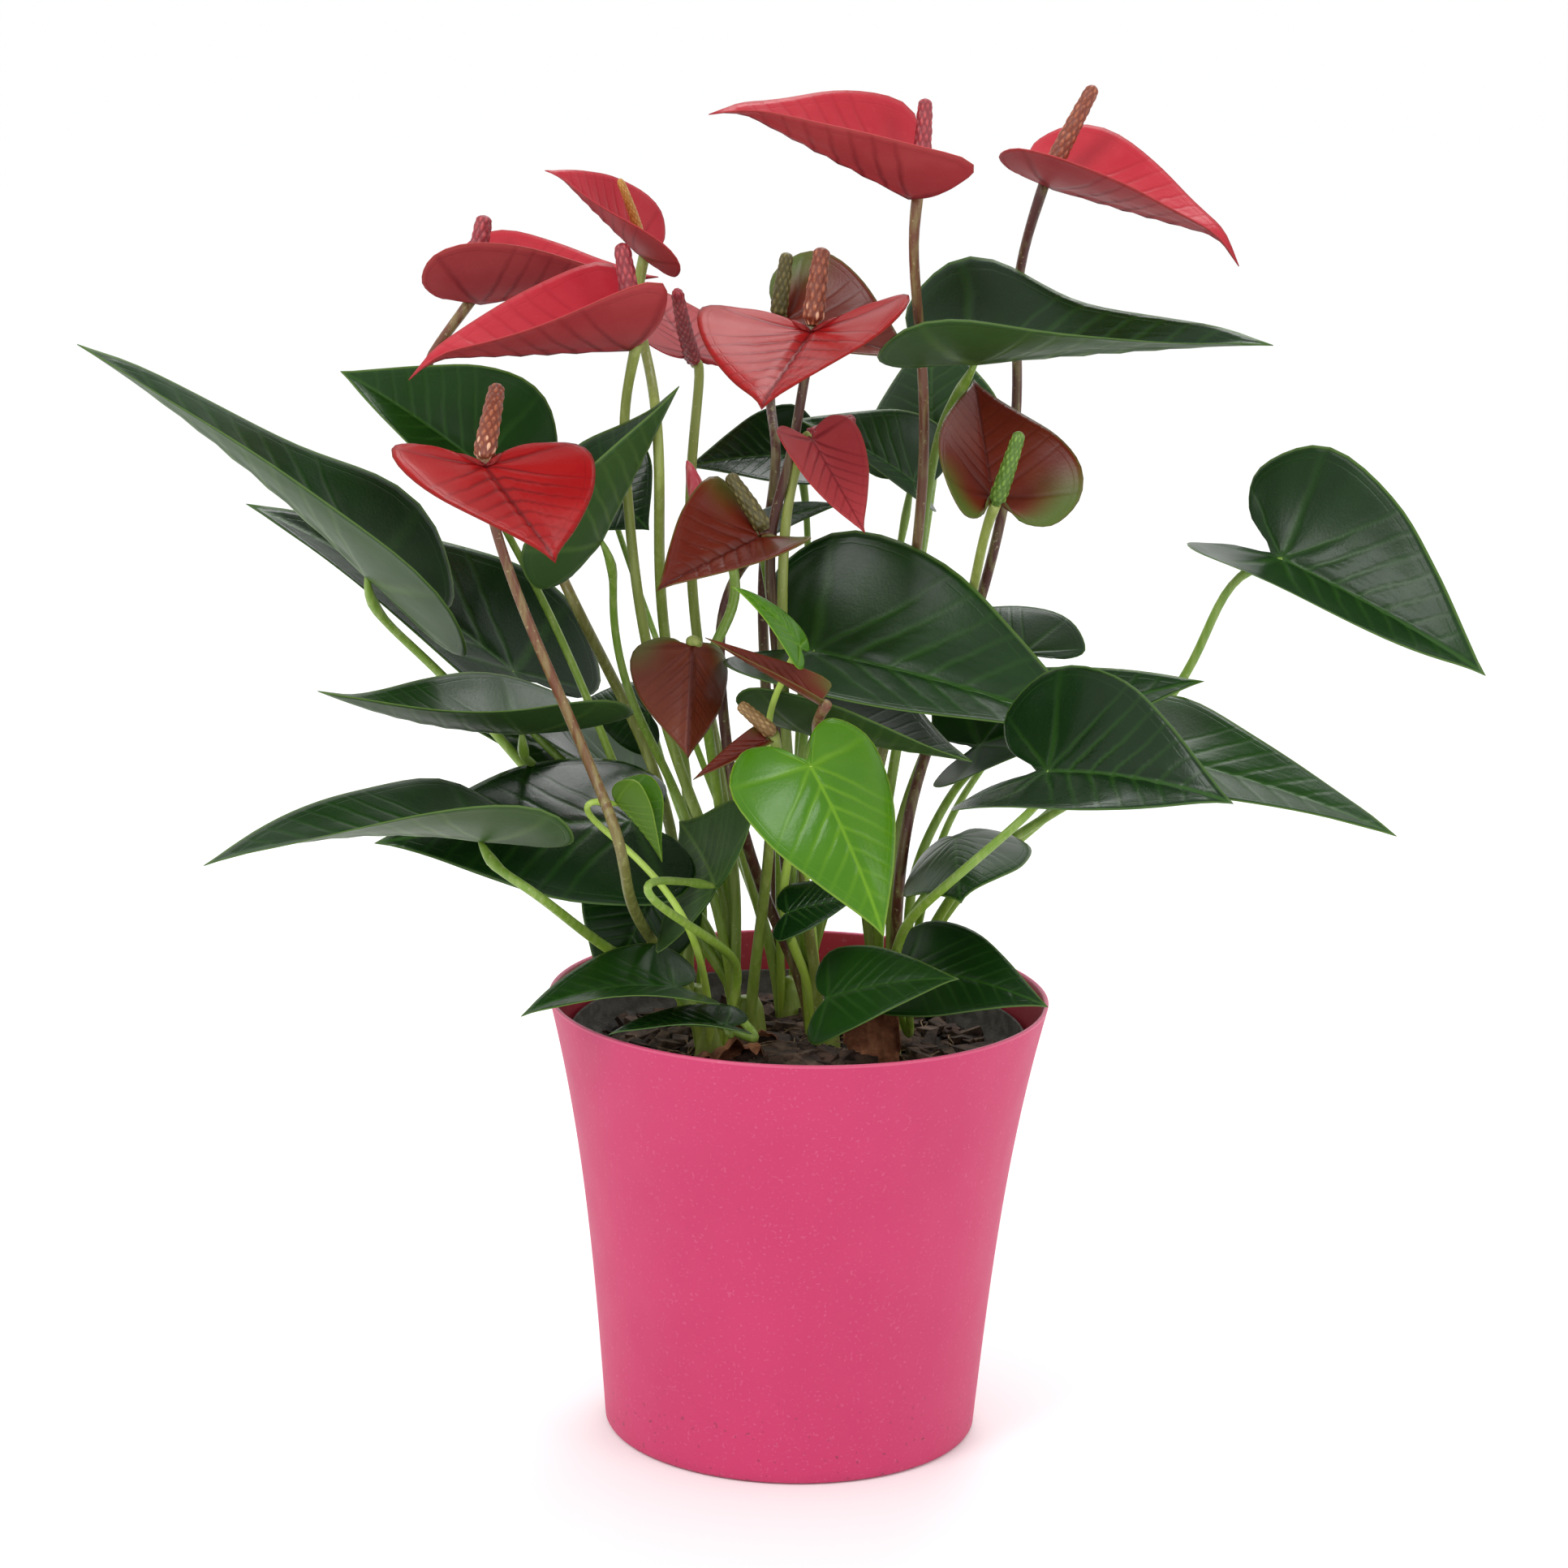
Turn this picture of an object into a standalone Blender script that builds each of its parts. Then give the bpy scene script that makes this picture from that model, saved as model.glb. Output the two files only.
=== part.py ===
"""A potted anthurium: a cover pot, the nursery pot inside it, the potting mix, seven shoots, and
the leaves and flower spathes that they carry.  Metres, +Z up, origin at the middle of the pot's foot."""

import math

import bmesh
import bpy
import numpy as np

MM = 0.001

# Cover pot: a thin moulded cup whose side flares more towards the rim.
COVER_HEIGHT = 0.143
COVER_BASE_RADIUS = 0.060
COVER_RIM_RADIUS = 0.080
COVER_WALL = 0.0015
COVER_FLOOR = 0.002
COVER_STRAIGHT_FLARE = 0.6
COVER_LEVELS = 6

# Nursery pot: stands loose on the cover pot's floor.
NURSERY_BELOW_RIM = 0.012
NURSERY_WALL = 0.001
NURSERY_FLOOR = 0.0012
NURSERY_LIP_DEPTH = 0.008
NURSERY_LIP_WIDTH = 0.0025
LIP_CLEARANCE = 0.0008
FOOT_CLEARANCE = 0.007
DRAIN_HOLES = 6
DRAIN_RADIUS = 0.004
DRAIN_CIRCLE = 0.030

# Potting mix, and the crowns that are planted in it.
SOIL_BELOW_RIM = 0.020
SOIL_MOUND = 0.005
MOUND_BEND = 0.55
MOUND_BEND_RISE = 0.8
CROWN_RADIUS = 0.009
CROWN_TOP_RADIUS = 0.007
CROWN_DEPTH = 0.012
CROWN_SHOULDER = 0.004
CROWN_HEIGHT = 0.016

# Plant: the thickness of the blades and the girth of the stems.
LEAF_THICKNESS = 0.0006
SPATHE_THICKNESS = 0.0007
PETIOLE_FOOT_RADIUS = 0.0019
PETIOLE_END_RADIUS = 0.0015
STALK_FOOT_RADIUS = 0.0018
STALK_END_RADIUS = 0.0016
SPLIT_FROM_AXIS = 0.0035
FIRST_STEM_DEPTH = 0.001
STEM_DEPTH_STEP = 0.00083
SPREAD_ABOVE_CROWN = 0.002
STEM_RISE = 0.004
PETIOLE_LEAD = 0.007
LEAD_SHARE = 0.12
PETIOLE_SETBACK = 0.0015
STALK_LEAD = 0.006
STALK_PASS = 0.001
EXTRA_RINGS = 6
FEWEST_RINGS = 7
MOST_RINGS = 11

# Pieces that touch keep this gap.
GAP = 0.0003
BLADE_SEAT_SHARE = 0.4
SINUS_MARGIN = 0.0009

# Facets.
POT_SIDES = 36
CROWN_SIDES = 8
STEM_SIDES = 5
BUD_SIDES = 6
OUTLINE_PER_SIDE = 8
BLADE_RINGS = 2
CURVE_STEPS = 24
WELD_DISTANCE = 1e-6

# A tube's first cross direction, and how nearly along it a stem may start.
DEPTH_WAY = (0, 1, 0)
ACROSS_WAY = (1, 0, 0)
STEEP = 0.9
SMOOTH_ANGLE = math.radians(50)

# Half outline of a blade: across in half widths, along in blade lengths; behind the stem (along < 0)
# it is scaled by the lobe's own length.
LEAF_HALF = ((0.0, 1.0), (0.05, 0.955), (0.23, 0.83), (0.56, 0.60), (0.86, 0.34), (1.0, 0.05),
             (0.93, -0.50), (0.62, -1.0), (0.27, -0.80), (0.08, -0.32), (0.0, -0.18))
SPATHE_HALF = ((0.0, 1.0), (0.04, 0.955), (0.17, 0.87), (0.47, 0.68), (0.80, 0.42), (1.0, 0.12),
               (0.95, -0.45), (0.66, -1.0), (0.34, -0.85), (0.19, -0.45), (0.13, -0.12), (0.0, -0.06))
SINUS_DEPTH = 0.06
SLIM_GAIN = 1.2

# Spadix: (share of its length, share of its greatest radius).
SPADIX_PROFILE = ((0.14, 0.92), (0.45, 1.0), (0.80, 0.86), (0.95, 0.62), (1.0, 0.25))
SPADIX_FOOT = 0.06
BUD_PROFILE = ((0.0, 0.45), (0.12, 0.8), (0.4, 1.0), (0.7, 0.75), (0.9, 0.4), (1.0, 0.12))

COLOURS = {
    "cover": ((0.67, 0.045, 0.18), 0.35),
    "nursery": ((0.55, 0.55, 0.53), 0.6),
    "soil": ((0.035, 0.022, 0.015), 0.95),
    "stem": ((0.16, 0.26, 0.035), 0.45),
    "leaf": ((0.012, 0.05, 0.012), 0.3),
    "young": ((0.11, 0.28, 0.02), 0.35),
    "red": ((0.55, 0.03, 0.035), 0.35),
    "dusky": ((0.16, 0.03, 0.02), 0.4),
    "bud": ((0.6, 0.07, 0.09), 0.35),
}

# Where each shoot's crown stands in the potting mix, from the pot's axis.
CROWNS = {1: (-0.016, 0.006),
          2: (-0.027, -0.014),
          3: (-0.033, 0.018),
          4: (-0.002, 0.030),
          5: (0.008, 0.002),
          6: (0.030, 0.022),
          7: (0.027, -0.012)}

# Stems by shoot number, filled in as the plant grows.
STEMS = {}


def clear_scene():
    for thing in list(bpy.data.objects):
        bpy.data.objects.remove(thing, do_unlink=True)


def material(name, colour_name):
    colour, roughness = COLOURS[colour_name]
    made = bpy.data.materials.new(name)
    made.use_nodes = True
    shader = made.node_tree.nodes["Principled BSDF"]
    shader.inputs["Base Color"].default_value = (*colour, 1.0)
    shader.inputs["Roughness"].default_value = roughness
    shader.inputs["Metallic"].default_value = 0.0
    return made


def new_object(name, points, faces, colour_name=None):
    """A smooth-shaded mesh object from points in metres; without a colour it is a hidden helper."""
    mesh = bpy.data.meshes.new(name)
    mesh.from_pydata([tuple(point) for point in points], [], [tuple(face) for face in faces])
    mesh.shade_smooth()
    mesh.set_sharp_from_angle(angle=SMOOTH_ANGLE)
    made = bpy.data.objects.new(name, mesh)
    bpy.context.scene.collection.objects.link(made)
    if colour_name:
        mesh.materials.append(material(name, colour_name))
    else:
        made.hide_render = True
        made.display_type = "WIRE"
    return made


def turned(profile, sides):
    """Points and faces of a closed (radius, height) profile turned round Z, outside upwards first."""
    shape = bmesh.new()
    corners = [shape.verts.new((radius, 0.0, height)) for radius, height in profile]
    edges = [shape.edges.new(pair) for pair in zip(corners, corners[1:])]
    bmesh.ops.spin(shape, geom=corners + edges, cent=(0, 0, 0), axis=(0, 0, 1),
                   angle=2 * math.pi, steps=sides, use_merge=True, use_duplicate=False)
    bmesh.ops.remove_doubles(shape, verts=shape.verts, dist=WELD_DISTANCE)
    bmesh.ops.recalc_face_normals(shape, faces=shape.faces)
    shape.verts.index_update()
    points = [tuple(corner.co) for corner in shape.verts]
    faces = [[corner.index for corner in face.verts] for face in shape.faces]
    shape.free()
    return points, faces


def combine(target, helpers, operation, name, solver="EXACT"):
    """One Boolean of the target with all helpers."""
    group = bpy.data.collections.new(name)
    bpy.context.scene.collection.children.link(group)
    for helper in helpers:
        group.objects.link(helper)
        bpy.context.scene.collection.objects.unlink(helper)
    boolean = target.modifiers.new(name, "BOOLEAN")
    boolean.operation = operation
    boolean.operand_type = "COLLECTION"
    boolean.collection = group
    boolean.solver = solver


# Pots and potting mix

def cover_radius(height):
    """Outer radius of the cover pot at a height."""
    share = height / COVER_HEIGHT
    flare = COVER_STRAIGHT_FLARE * share + (1 - COVER_STRAIGHT_FLARE) * share ** 3
    return COVER_BASE_RADIUS + (COVER_RIM_RADIUS - COVER_BASE_RADIUS) * flare


NURSERY_FOOT = COVER_FLOOR + GAP
NURSERY_TOP = COVER_HEIGHT - NURSERY_BELOW_RIM
LIP_FOOT = NURSERY_TOP - NURSERY_LIP_DEPTH
LIP_RADIUS = cover_radius(LIP_FOOT) - COVER_WALL - LIP_CLEARANCE
NURSERY_FOOT_RADIUS = cover_radius(NURSERY_FOOT) - COVER_WALL - FOOT_CLEARANCE
SOIL_LEVEL = COVER_HEIGHT - SOIL_BELOW_RIM


def nursery_radius(height):
    """Outer radius of the nursery pot's tapered wall at a height."""
    top = LIP_RADIUS - NURSERY_LIP_WIDTH
    share = (height - NURSERY_FOOT) / (LIP_FOOT - NURSERY_FOOT)
    return NURSERY_FOOT_RADIUS + (top - NURSERY_FOOT_RADIUS) * share


def make_cover_pot():
    levels = [COVER_HEIGHT * step / (COVER_LEVELS - 1) for step in range(COVER_LEVELS)]
    outside = [(cover_radius(level), level) for level in levels]
    inside = [(cover_radius(level) - COVER_WALL, max(level, COVER_FLOOR)) for level in reversed(levels)]
    profile = [(0.0, 0.0), *outside, *inside, (0.0, COVER_FLOOR)]
    new_object("cover_pot", *turned(profile, POT_SIDES), "cover")


def make_nursery_pot():
    floor = NURSERY_FOOT + NURSERY_FLOOR
    lip_inside = LIP_RADIUS - NURSERY_WALL
    ledge = LIP_FOOT + NURSERY_WALL
    profile = [
        (0.0, NURSERY_FOOT),
        (NURSERY_FOOT_RADIUS, NURSERY_FOOT),
        (nursery_radius(LIP_FOOT), LIP_FOOT),
        (LIP_RADIUS, LIP_FOOT),
        (LIP_RADIUS, NURSERY_TOP),
        (lip_inside, NURSERY_TOP),
        (lip_inside, ledge),
        (nursery_radius(ledge) - NURSERY_WALL, ledge),
        (nursery_radius(floor) - NURSERY_WALL, floor),
        (0.0, floor),
    ]
    pot = new_object("nursery_pot", *turned(profile, POT_SIDES), "nursery")
    holes = []
    for turn in range(DRAIN_HOLES):
        angle = 2 * math.pi * turn / DRAIN_HOLES
        centre = np.array([DRAIN_CIRCLE * math.cos(angle), DRAIN_CIRCLE * math.sin(angle), 0.0])
        foot = centre + np.array([0, 0, NURSERY_FOOT - NURSERY_FLOOR])
        head = centre + np.array([0, 0, floor + NURSERY_FLOOR])
        points, faces = tube([foot, head], [DRAIN_RADIUS] * 2, CROWN_SIDES)
        holes.append(new_object(f"drain_hole_{turn + 1}", points, faces))
    combine(pot, holes, "DIFFERENCE", "drain_holes")


def make_potting_mix(crowns):
    foot = NURSERY_FOOT + NURSERY_FLOOR + GAP
    low = nursery_radius(foot) - NURSERY_WALL - GAP
    ledge = LIP_FOOT + NURSERY_WALL
    wide = nursery_radius(ledge) - NURSERY_WALL - GAP
    level = min(SOIL_LEVEL, ledge)
    profile = [(0.0, foot), (low, foot), (wide, level), (wide, SOIL_LEVEL),
               (MOUND_BEND * wide, SOIL_LEVEL + MOUND_BEND_RISE * SOIL_MOUND),
               (0.0, SOIL_LEVEL + SOIL_MOUND)]
    mix = new_object("potting_mix", *turned(profile, POT_SIDES), "soil")
    sockets = []
    for number, (across, deep) in crowns.items():
        points, faces = crown_shape(across, deep, GAP)
        sockets.append(new_object(f"crown_socket_{number}", points, faces))
    combine(mix, sockets, "DIFFERENCE", "crown_sockets")


# Curves, tubes and crowns

def smooth_path(points, count):
    """Catmull-Rom curve through the points, read at evenly spaced places."""
    given = np.array(points, float)
    held = np.vstack([2 * given[0] - given[1], given, 2 * given[-1] - given[-2]])
    fine = []
    for before, start, end, after in zip(held, held[1:], held[2:], held[3:]):
        for t in np.linspace(0, 1, CURVE_STEPS, endpoint=False):
            fine.append(0.5 * (2 * start + (end - before) * t
                               + (2 * before - 5 * start + 4 * end - after) * t ** 2
                               + (3 * start - before - 3 * end + after) * t ** 3))
    fine = np.array([*fine, given[-1]])
    run = np.concatenate([[0], np.cumsum(np.linalg.norm(np.diff(fine, axis=0), axis=1))])
    places = np.linspace(0, run[-1], count)
    return np.stack([np.interp(places, run, fine[:, axis]) for axis in range(fine.shape[1])], 1)


def tube(points, radii, sides):
    """Closed tube along the points, with one radius at each."""
    points = np.array(points, float)
    along = np.gradient(points, axis=0)
    along /= np.linalg.norm(along, axis=1)[:, None]
    across = np.cross(along[0], DEPTH_WAY if abs(along[0][1]) < STEEP else ACROSS_WAY)
    corners = []
    for point, ahead, radius in zip(points, along, radii):
        across = across - ahead * (across @ ahead)
        across /= np.linalg.norm(across)
        other = np.cross(ahead, across)
        for side in range(sides):
            angle = 2 * math.pi * side / sides
            corners.append(point + radius * (math.cos(angle) * across + math.sin(angle) * other))
    corners += [points[0], points[-1]]
    foot, head = len(corners) - 2, len(corners) - 1
    top_ring = (len(points) - 1) * sides
    faces = []
    for side in range(sides):
        beside = (side + 1) % sides
        for ring in range(0, top_ring, sides):
            a, b, c, d = ring + side, ring + beside, ring + sides + beside, ring + sides + side
            faces += [(a, b, c), (a, c, d)]
        faces += [(foot, beside, side), (head, top_ring + side, top_ring + beside)]
    return corners, faces


def crown_shape(across, deep, room=0.0):
    """The squat base of a shoot at (across, deep), or its socket when given room."""
    levels = (SOIL_LEVEL - CROWN_DEPTH - room, SOIL_LEVEL + CROWN_SHOULDER,
              SOIL_LEVEL + CROWN_HEIGHT + room)
    radii = (CROWN_RADIUS + room, CROWN_RADIUS + room, CROWN_TOP_RADIUS + room)
    return tube([(across, deep, level) for level in levels], radii, CROWN_SIDES)


# Leaves and flowers

def blade_axes(heading, slope, roll):
    """Unit vectors across, along and out of a blade; heading from +X, slope up, roll right side down."""
    h, s, r = (math.radians(angle) for angle in (heading, slope, roll))
    along = np.array([math.cos(s) * math.cos(h), math.cos(s) * math.sin(h), math.sin(s)])
    level = np.array([math.sin(h), -math.cos(h), 0.0])
    across = math.cos(r) * level - math.sin(r) * np.cross(level, along)
    return across, along, np.cross(across, along)


def blade_outline(half, lobe, slim):
    """Closed outline in (half widths, lengths), starting at the tip."""
    points = []
    for across, along in half:
        if along > 0:
            points.append((across * (1 - slim * SLIM_GAIN * along * (1 - along)), along))
        else:
            points.append((across, along * lobe))
    right = smooth_path(points, OUTLINE_PER_SIDE + 1)
    right[0, 0] = right[-1, 0] = 0.0
    left = right[-2:0:-1] * np.array([-1, 1])
    return np.vstack([right, left])


def blade_surface(half, shape):
    """Points in mm of the bent blade, centre first and then ring by ring, and its triangles."""
    loop = blade_outline(half, shape["lobe"], shape["slim"])
    flat = np.vstack([[(0.0, 0.0)], *[loop * ring / BLADE_RINGS for ring in range(1, BLADE_RINGS + 1)]])
    u, v = flat[:, 0], flat[:, 1]
    fold = math.radians(shape["fold"])
    half_width = shape["width"] / 2
    x = u * half_width * math.cos(fold)
    y = v * shape["length"]
    z = half_width * math.sin(fold) * (np.abs(u) + u ** 2) / 2 + shape["arch"] * 4 * v * (1 - v)
    across, along, out = blade_axes(shape["heading"], shape["slope"], shape["roll"])
    placed = np.array(shape["at"], float) + np.stack([x, y, z], 1) @ np.stack([across, along, out])
    count = len(loop)
    faces = []
    for here in range(count):
        beside = (here + 1) % count
        faces.append((0, 1 + here, 1 + beside))
        for ring in range(1, BLADE_RINGS):
            inner, outer = 1 + (ring - 1) * count, 1 + ring * count
            faces += [(inner + here, outer + here, inner + beside),
                      (inner + beside, outer + here, outer + beside)]
    faces = [face[::-1] for face in faces]
    return placed, faces


def make_blade(name, half, shape, thickness, colour_name):
    points, faces = blade_surface(half, shape)
    blade = new_object(name, plant_place(points), faces, colour_name)
    shell = blade.modifiers.new("thickness", "SOLIDIFY")
    shell.thickness = thickness
    shell.offset = -1


def plant_place(points):
    """Plant positions in mm, measured from the middle of the soil level, to metres above the foot."""
    return np.array(points, float).reshape(-1, 3) * MM + np.array([0, 0, SOIL_LEVEL])


def stem_foot(number, first):
    """A stem's first two points: inside the crown, each a bit lower than the last, and clear above it."""
    centre = np.array([*CROWNS[number], 0.0])
    lean = np.array([first[0], first[1], 0.0]) * MM - centre
    lean /= np.linalg.norm(lean)
    depth = FIRST_STEM_DEPTH + STEM_DEPTH_STEP * len(STEMS.get(number, []))
    start = centre + lean * SPLIT_FROM_AXIS + np.array([0, 0, SOIL_LEVEL - depth])
    clear = centre + lean * (SPLIT_FROM_AXIS + SPREAD_ABOVE_CROWN)
    return [start, clear + np.array([0, 0, SOIL_LEVEL + CROWN_HEIGHT + STEM_RISE])]


def add_stem(name, number, path, radii):
    STEMS.setdefault(number, []).append(new_object(name, *tube(path, radii, STEM_SIDES)))


def grow_leaf(name, shoot, at, length, width, heading, slope, roll, fold, lobe, petiole,
              arch=2, slim=0.0, young=False):
    """A heart-shaped leaf at the end of a petiole that rises from a shoot's crown."""
    shape = {"at": at, "length": length, "width": width, "heading": heading, "slope": slope,
             "roll": roll, "fold": fold, "lobe": lobe, "arch": arch, "slim": slim}
    make_blade(name, LEAF_HALF, shape, LEAF_THICKNESS, "young" if young else "leaf")
    _, along, out = blade_axes(heading, slope, roll)
    seat = plant_place([at])[0]
    tilt = BLADE_SEAT_SHARE + abs(math.sin(math.radians(fold)))
    depth = LEAF_THICKNESS + GAP + PETIOLE_END_RADIUS * tilt
    foot = stem_foot(shoot, petiole[0] if petiole else at)
    drop = min(PETIOLE_LEAD, LEAD_SHARE * length * MM)
    lead = seat - out * drop - along * PETIOLE_SETBACK
    points = [*foot, *plant_place(petiole), lead, seat - out * depth]
    path = smooth_path(points, stem_rings(petiole))
    radii = np.linspace(PETIOLE_FOOT_RADIUS, PETIOLE_END_RADIUS, len(path))
    add_stem(f"petiole_of_{name}", shoot, path, radii)


def grow_flower(name, shoot, at, length, width, heading, slope, roll, fold, lobe, stalk,
                arch=0, slim=0.0, spadix=None, spadix_radius=0, old=False):
    """A spathe on a stalk that passes through the spathe's sinus and ends in the spadix."""
    shape = {"at": at, "length": length, "width": width, "heading": heading, "slope": slope,
             "roll": roll, "fold": fold, "lobe": lobe, "arch": arch, "slim": slim}
    make_blade(name, SPATHE_HALF, shape, SPATHE_THICKNESS, "dusky" if old else "red")
    _, along, out = blade_axes(heading, slope, roll)
    behind = SINUS_DEPTH * lobe * length * MM + STALK_END_RADIUS + GAP + SINUS_MARGIN
    passing = plant_place([at])[0] - along * behind
    foot = stem_foot(shoot, stalk[0])
    points = [*foot, *plant_place(stalk), passing - out * STALK_LEAD, passing + out * STALK_PASS]
    path = smooth_path(points, stem_rings(stalk))
    radii = list(np.linspace(STALK_FOOT_RADIUS, STALK_END_RADIUS, len(path)))
    if spadix:
        run = plant_place([spadix])[0] - path[-1]
        places = [path[-1] + run * share for share in (SPADIX_FOOT, *(s for s, _ in SPADIX_PROFILE))]
        path = np.vstack([path, places])
        radii += [STALK_END_RADIUS, *(spadix_radius * MM * share for _, share in SPADIX_PROFILE)]
    add_stem(f"stalk_of_{name}", shoot, path, radii)


def grow_bud(name, shoot, at, tip, radius, stalk):
    """A spathe still rolled round its spadix, on its stalk."""
    base, end = plant_place([at, tip])
    places = [base + (end - base) * share for share, _ in BUD_PROFILE]
    radii = [radius * MM * share for _, share in BUD_PROFILE]
    new_object(name, *tube(places, radii, BUD_SIDES), "bud")
    upward = (end - base) / np.linalg.norm(end - base)
    points = [*stem_foot(shoot, stalk[0]), *plant_place(stalk), base - upward * GAP]
    path = smooth_path(points, stem_rings(stalk))
    add_stem(f"stalk_of_{name}", shoot, path, np.linspace(STALK_FOOT_RADIUS, STALK_END_RADIUS, len(path)))


def stem_rings(route):
    """How many rings a stem needs for its route."""
    return int(np.clip(len(route) + EXTRA_RINGS, FEWEST_RINGS, MOST_RINGS))


def make_shoots():
    for number, (across, deep) in CROWNS.items():
        shoot = new_object(f"shoot_{number}", *crown_shape(across, deep), "stem")
        # The exact solver leaves inner faces where this many stems meet in one crown.
        combine(shoot, STEMS[number], "UNION", f"stems_of_shoot_{number}", "MANIFOLD")


clear_scene()
make_cover_pot()
make_nursery_pot()
make_potting_mix(CROWNS)

# The plant, in mm and degrees: positions are measured from the middle of the soil level.  A leaf or
# spathe is placed where its stem meets it, and a stem's route is given from the crown outwards.
grow_leaf("leaf_01", shoot=3, at=(-137, -5, 153), length=118, width=80, heading=203, slope=40, roll=-17,
          fold=32, lobe=0.28, arch=3, slim=0.9,
          petiole=((-52, 21, 47), (-78, 18, 75), (-100, 16, 101), (-117, 14, 120)))
grow_leaf("leaf_02", shoot=3, at=(-95, 41, 115), length=102, width=76, heading=190, slope=33, roll=-29,
          fold=18, lobe=0.3, arch=4, slim=0.5, petiole=((-38, 18, 42), (-60, 19, 74), (-89, 33, 97)))
grow_leaf("leaf_03", shoot=3, at=(-105, 19, 186), length=52, width=59, heading=187, slope=34, roll=-50,
          fold=35, lobe=0.4, petiole=((-55, 20, 74), (-83, 42, 133)))
grow_leaf("leaf_04", shoot=1, at=(-64, -30, 170), length=56, width=64, heading=337, slope=63, roll=21,
          fold=42, lobe=0.3, arch=0, petiole=((-28, 2, 52), (-41, 10, 84), (-56, -7, 119), (-61, -11, 146)))
grow_leaf("leaf_05", shoot=4, at=(-67, 45, 177), length=23, width=36, heading=328, slope=-37, roll=60,
          fold=1, lobe=0.25, petiole=((-18, 33, 50), (-37, 36, 97), (-56, 61, 140)))
grow_leaf("leaf_06", shoot=1, at=(-87, -25, 109), length=74, width=68, heading=214, slope=16, roll=1,
          fold=26, lobe=0.34, arch=-3, slim=0.4, petiole=((-35, 9, 48), (-61, -10, 69), (-85, 23, 86)))
grow_leaf("leaf_07", shoot=2, at=(-97, -60, 83), length=92, width=72, heading=213, slope=2, roll=2, fold=25,
          lobe=0.22, arch=5, slim=0.6, petiole=((-60, -28, 41), (-82, -71, 71)))
grow_leaf("leaf_08", shoot=1, at=(-54, -10, 78), length=82, width=70, heading=197, slope=-2, roll=-30,
          fold=-7, lobe=0.2, petiole=((-30, 6, 32), (-45, 7, 56)))
grow_leaf("leaf_09", shoot=2, at=(-38, -45, 34), length=50, width=44, heading=200, slope=-6, roll=-8,
          fold=14, lobe=0.2, arch=4, petiole=((-12, -36, 14),))
grow_leaf("leaf_10", shoot=3, at=(-48, -9, 53), length=35, width=43, heading=215, slope=-60, roll=-70,
          fold=-15, lobe=0.2, petiole=((-38, 15, 30),))
grow_leaf("leaf_11", shoot=2, at=(-22, -58, 26), length=36, width=28, heading=185, slope=-4, roll=0,
          fold=12, lobe=0.2, petiole=())
grow_leaf("leaf_12", shoot=2, at=(-26, -38, 64), length=48, width=56, heading=106, slope=12, roll=118,
          fold=-10, lobe=0.1, petiole=((-18, -21, 35), (-48, -102, 80)))
grow_leaf("leaf_13", shoot=2, at=(-57, -40, 91), length=23, width=26, heading=341, slope=-48, roll=-2,
          fold=67, lobe=0.2, arch=1, young=True,
          petiole=((-35, -56, 59), (-54, -37, 76), (-67, -42, 87), (-65, -58, 96)))
grow_leaf("leaf_14", shoot=5, at=(2, -90, 115), length=55, width=50, heading=319, slope=-57, roll=33,
          fold=-22, lobe=0.24, arch=5, young=True, petiole=((-6, -19, 53), (-1, -43, 90)))
grow_leaf("leaf_15", shoot=7, at=(9, -42, 31), length=46, width=34, heading=333, slope=16, roll=46, fold=2,
          lobe=0.15, arch=3, petiole=((19, -31, 20),))
grow_leaf("leaf_16", shoot=7, at=(34, -23, 36), length=49, width=40, heading=332, slope=-6, roll=36, fold=1,
          lobe=0.2, arch=3, petiole=((36, -3, 6),))
grow_leaf("leaf_17", shoot=5, at=(-4, -35, 56), length=25, width=22, heading=340, slope=18, roll=42, fold=1,
          lobe=0.2, arch=1, petiole=((-3, -10, 39),))
grow_leaf("leaf_18", shoot=7, at=(48, -14, 76), length=41, width=50, heading=271, slope=-15, roll=19,
          fold=-31, lobe=0.36, petiole=((32, -5, 42), (46, 1, 63)))
grow_leaf("leaf_19", shoot=5, at=(2, -15, 135), length=98, width=84, heading=345, slope=-12, roll=30,
          fold=27, lobe=0.22, arch=3, petiole=((-3, -4, 68), (0, 37, 98)))
grow_leaf("leaf_20", shoot=7, at=(72, -80, 113), length=65, width=66, heading=322, slope=1, roll=40,
          fold=29, lobe=0.38, arch=4, petiole=((31, -24, 47), (47, -60, 75), (68, -47, 91)))
grow_leaf("leaf_21", shoot=6, at=(104, -15, 105), length=86, width=60, heading=336, slope=-11, roll=18,
          fold=11, lobe=0.25, arch=3, slim=0.9, petiole=((53, 13, 57), (80, 7, 80)))
grow_leaf("leaf_22", shoot=6, at=(148, 5, 164), length=77, width=75, heading=326, slope=-21, roll=33,
          fold=38, lobe=0.3,
          petiole=((51, 19, 50), (83, 16, 81), (119, 12, 120), (131, 6, 157), (139, 5, 164)))
grow_leaf("leaf_23", shoot=6, at=(49, -10, 225), length=93, width=82, heading=344, slope=7, roll=12,
          fold=38, lobe=0.26, arch=1, slim=1.2,
          petiole=((25, 18, 63), (32, 13, 117), (35, 8, 168), (38, 5, 192), (41, 16, 208)))
grow_leaf("leaf_24", shoot=4, at=(39, 51, 191), length=45, width=50, heading=90, slope=48, roll=-16,
          fold=-12, lobe=0.2, petiole=((26, 46, 97), (37, 78, 145)))
grow_leaf("leaf_25", shoot=4, at=(33, 35, 181), length=43, width=44, heading=188, slope=28, roll=-32,
          fold=25, lobe=0.2, petiole=((18, 32, 100), (28, 34, 153)))
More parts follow.
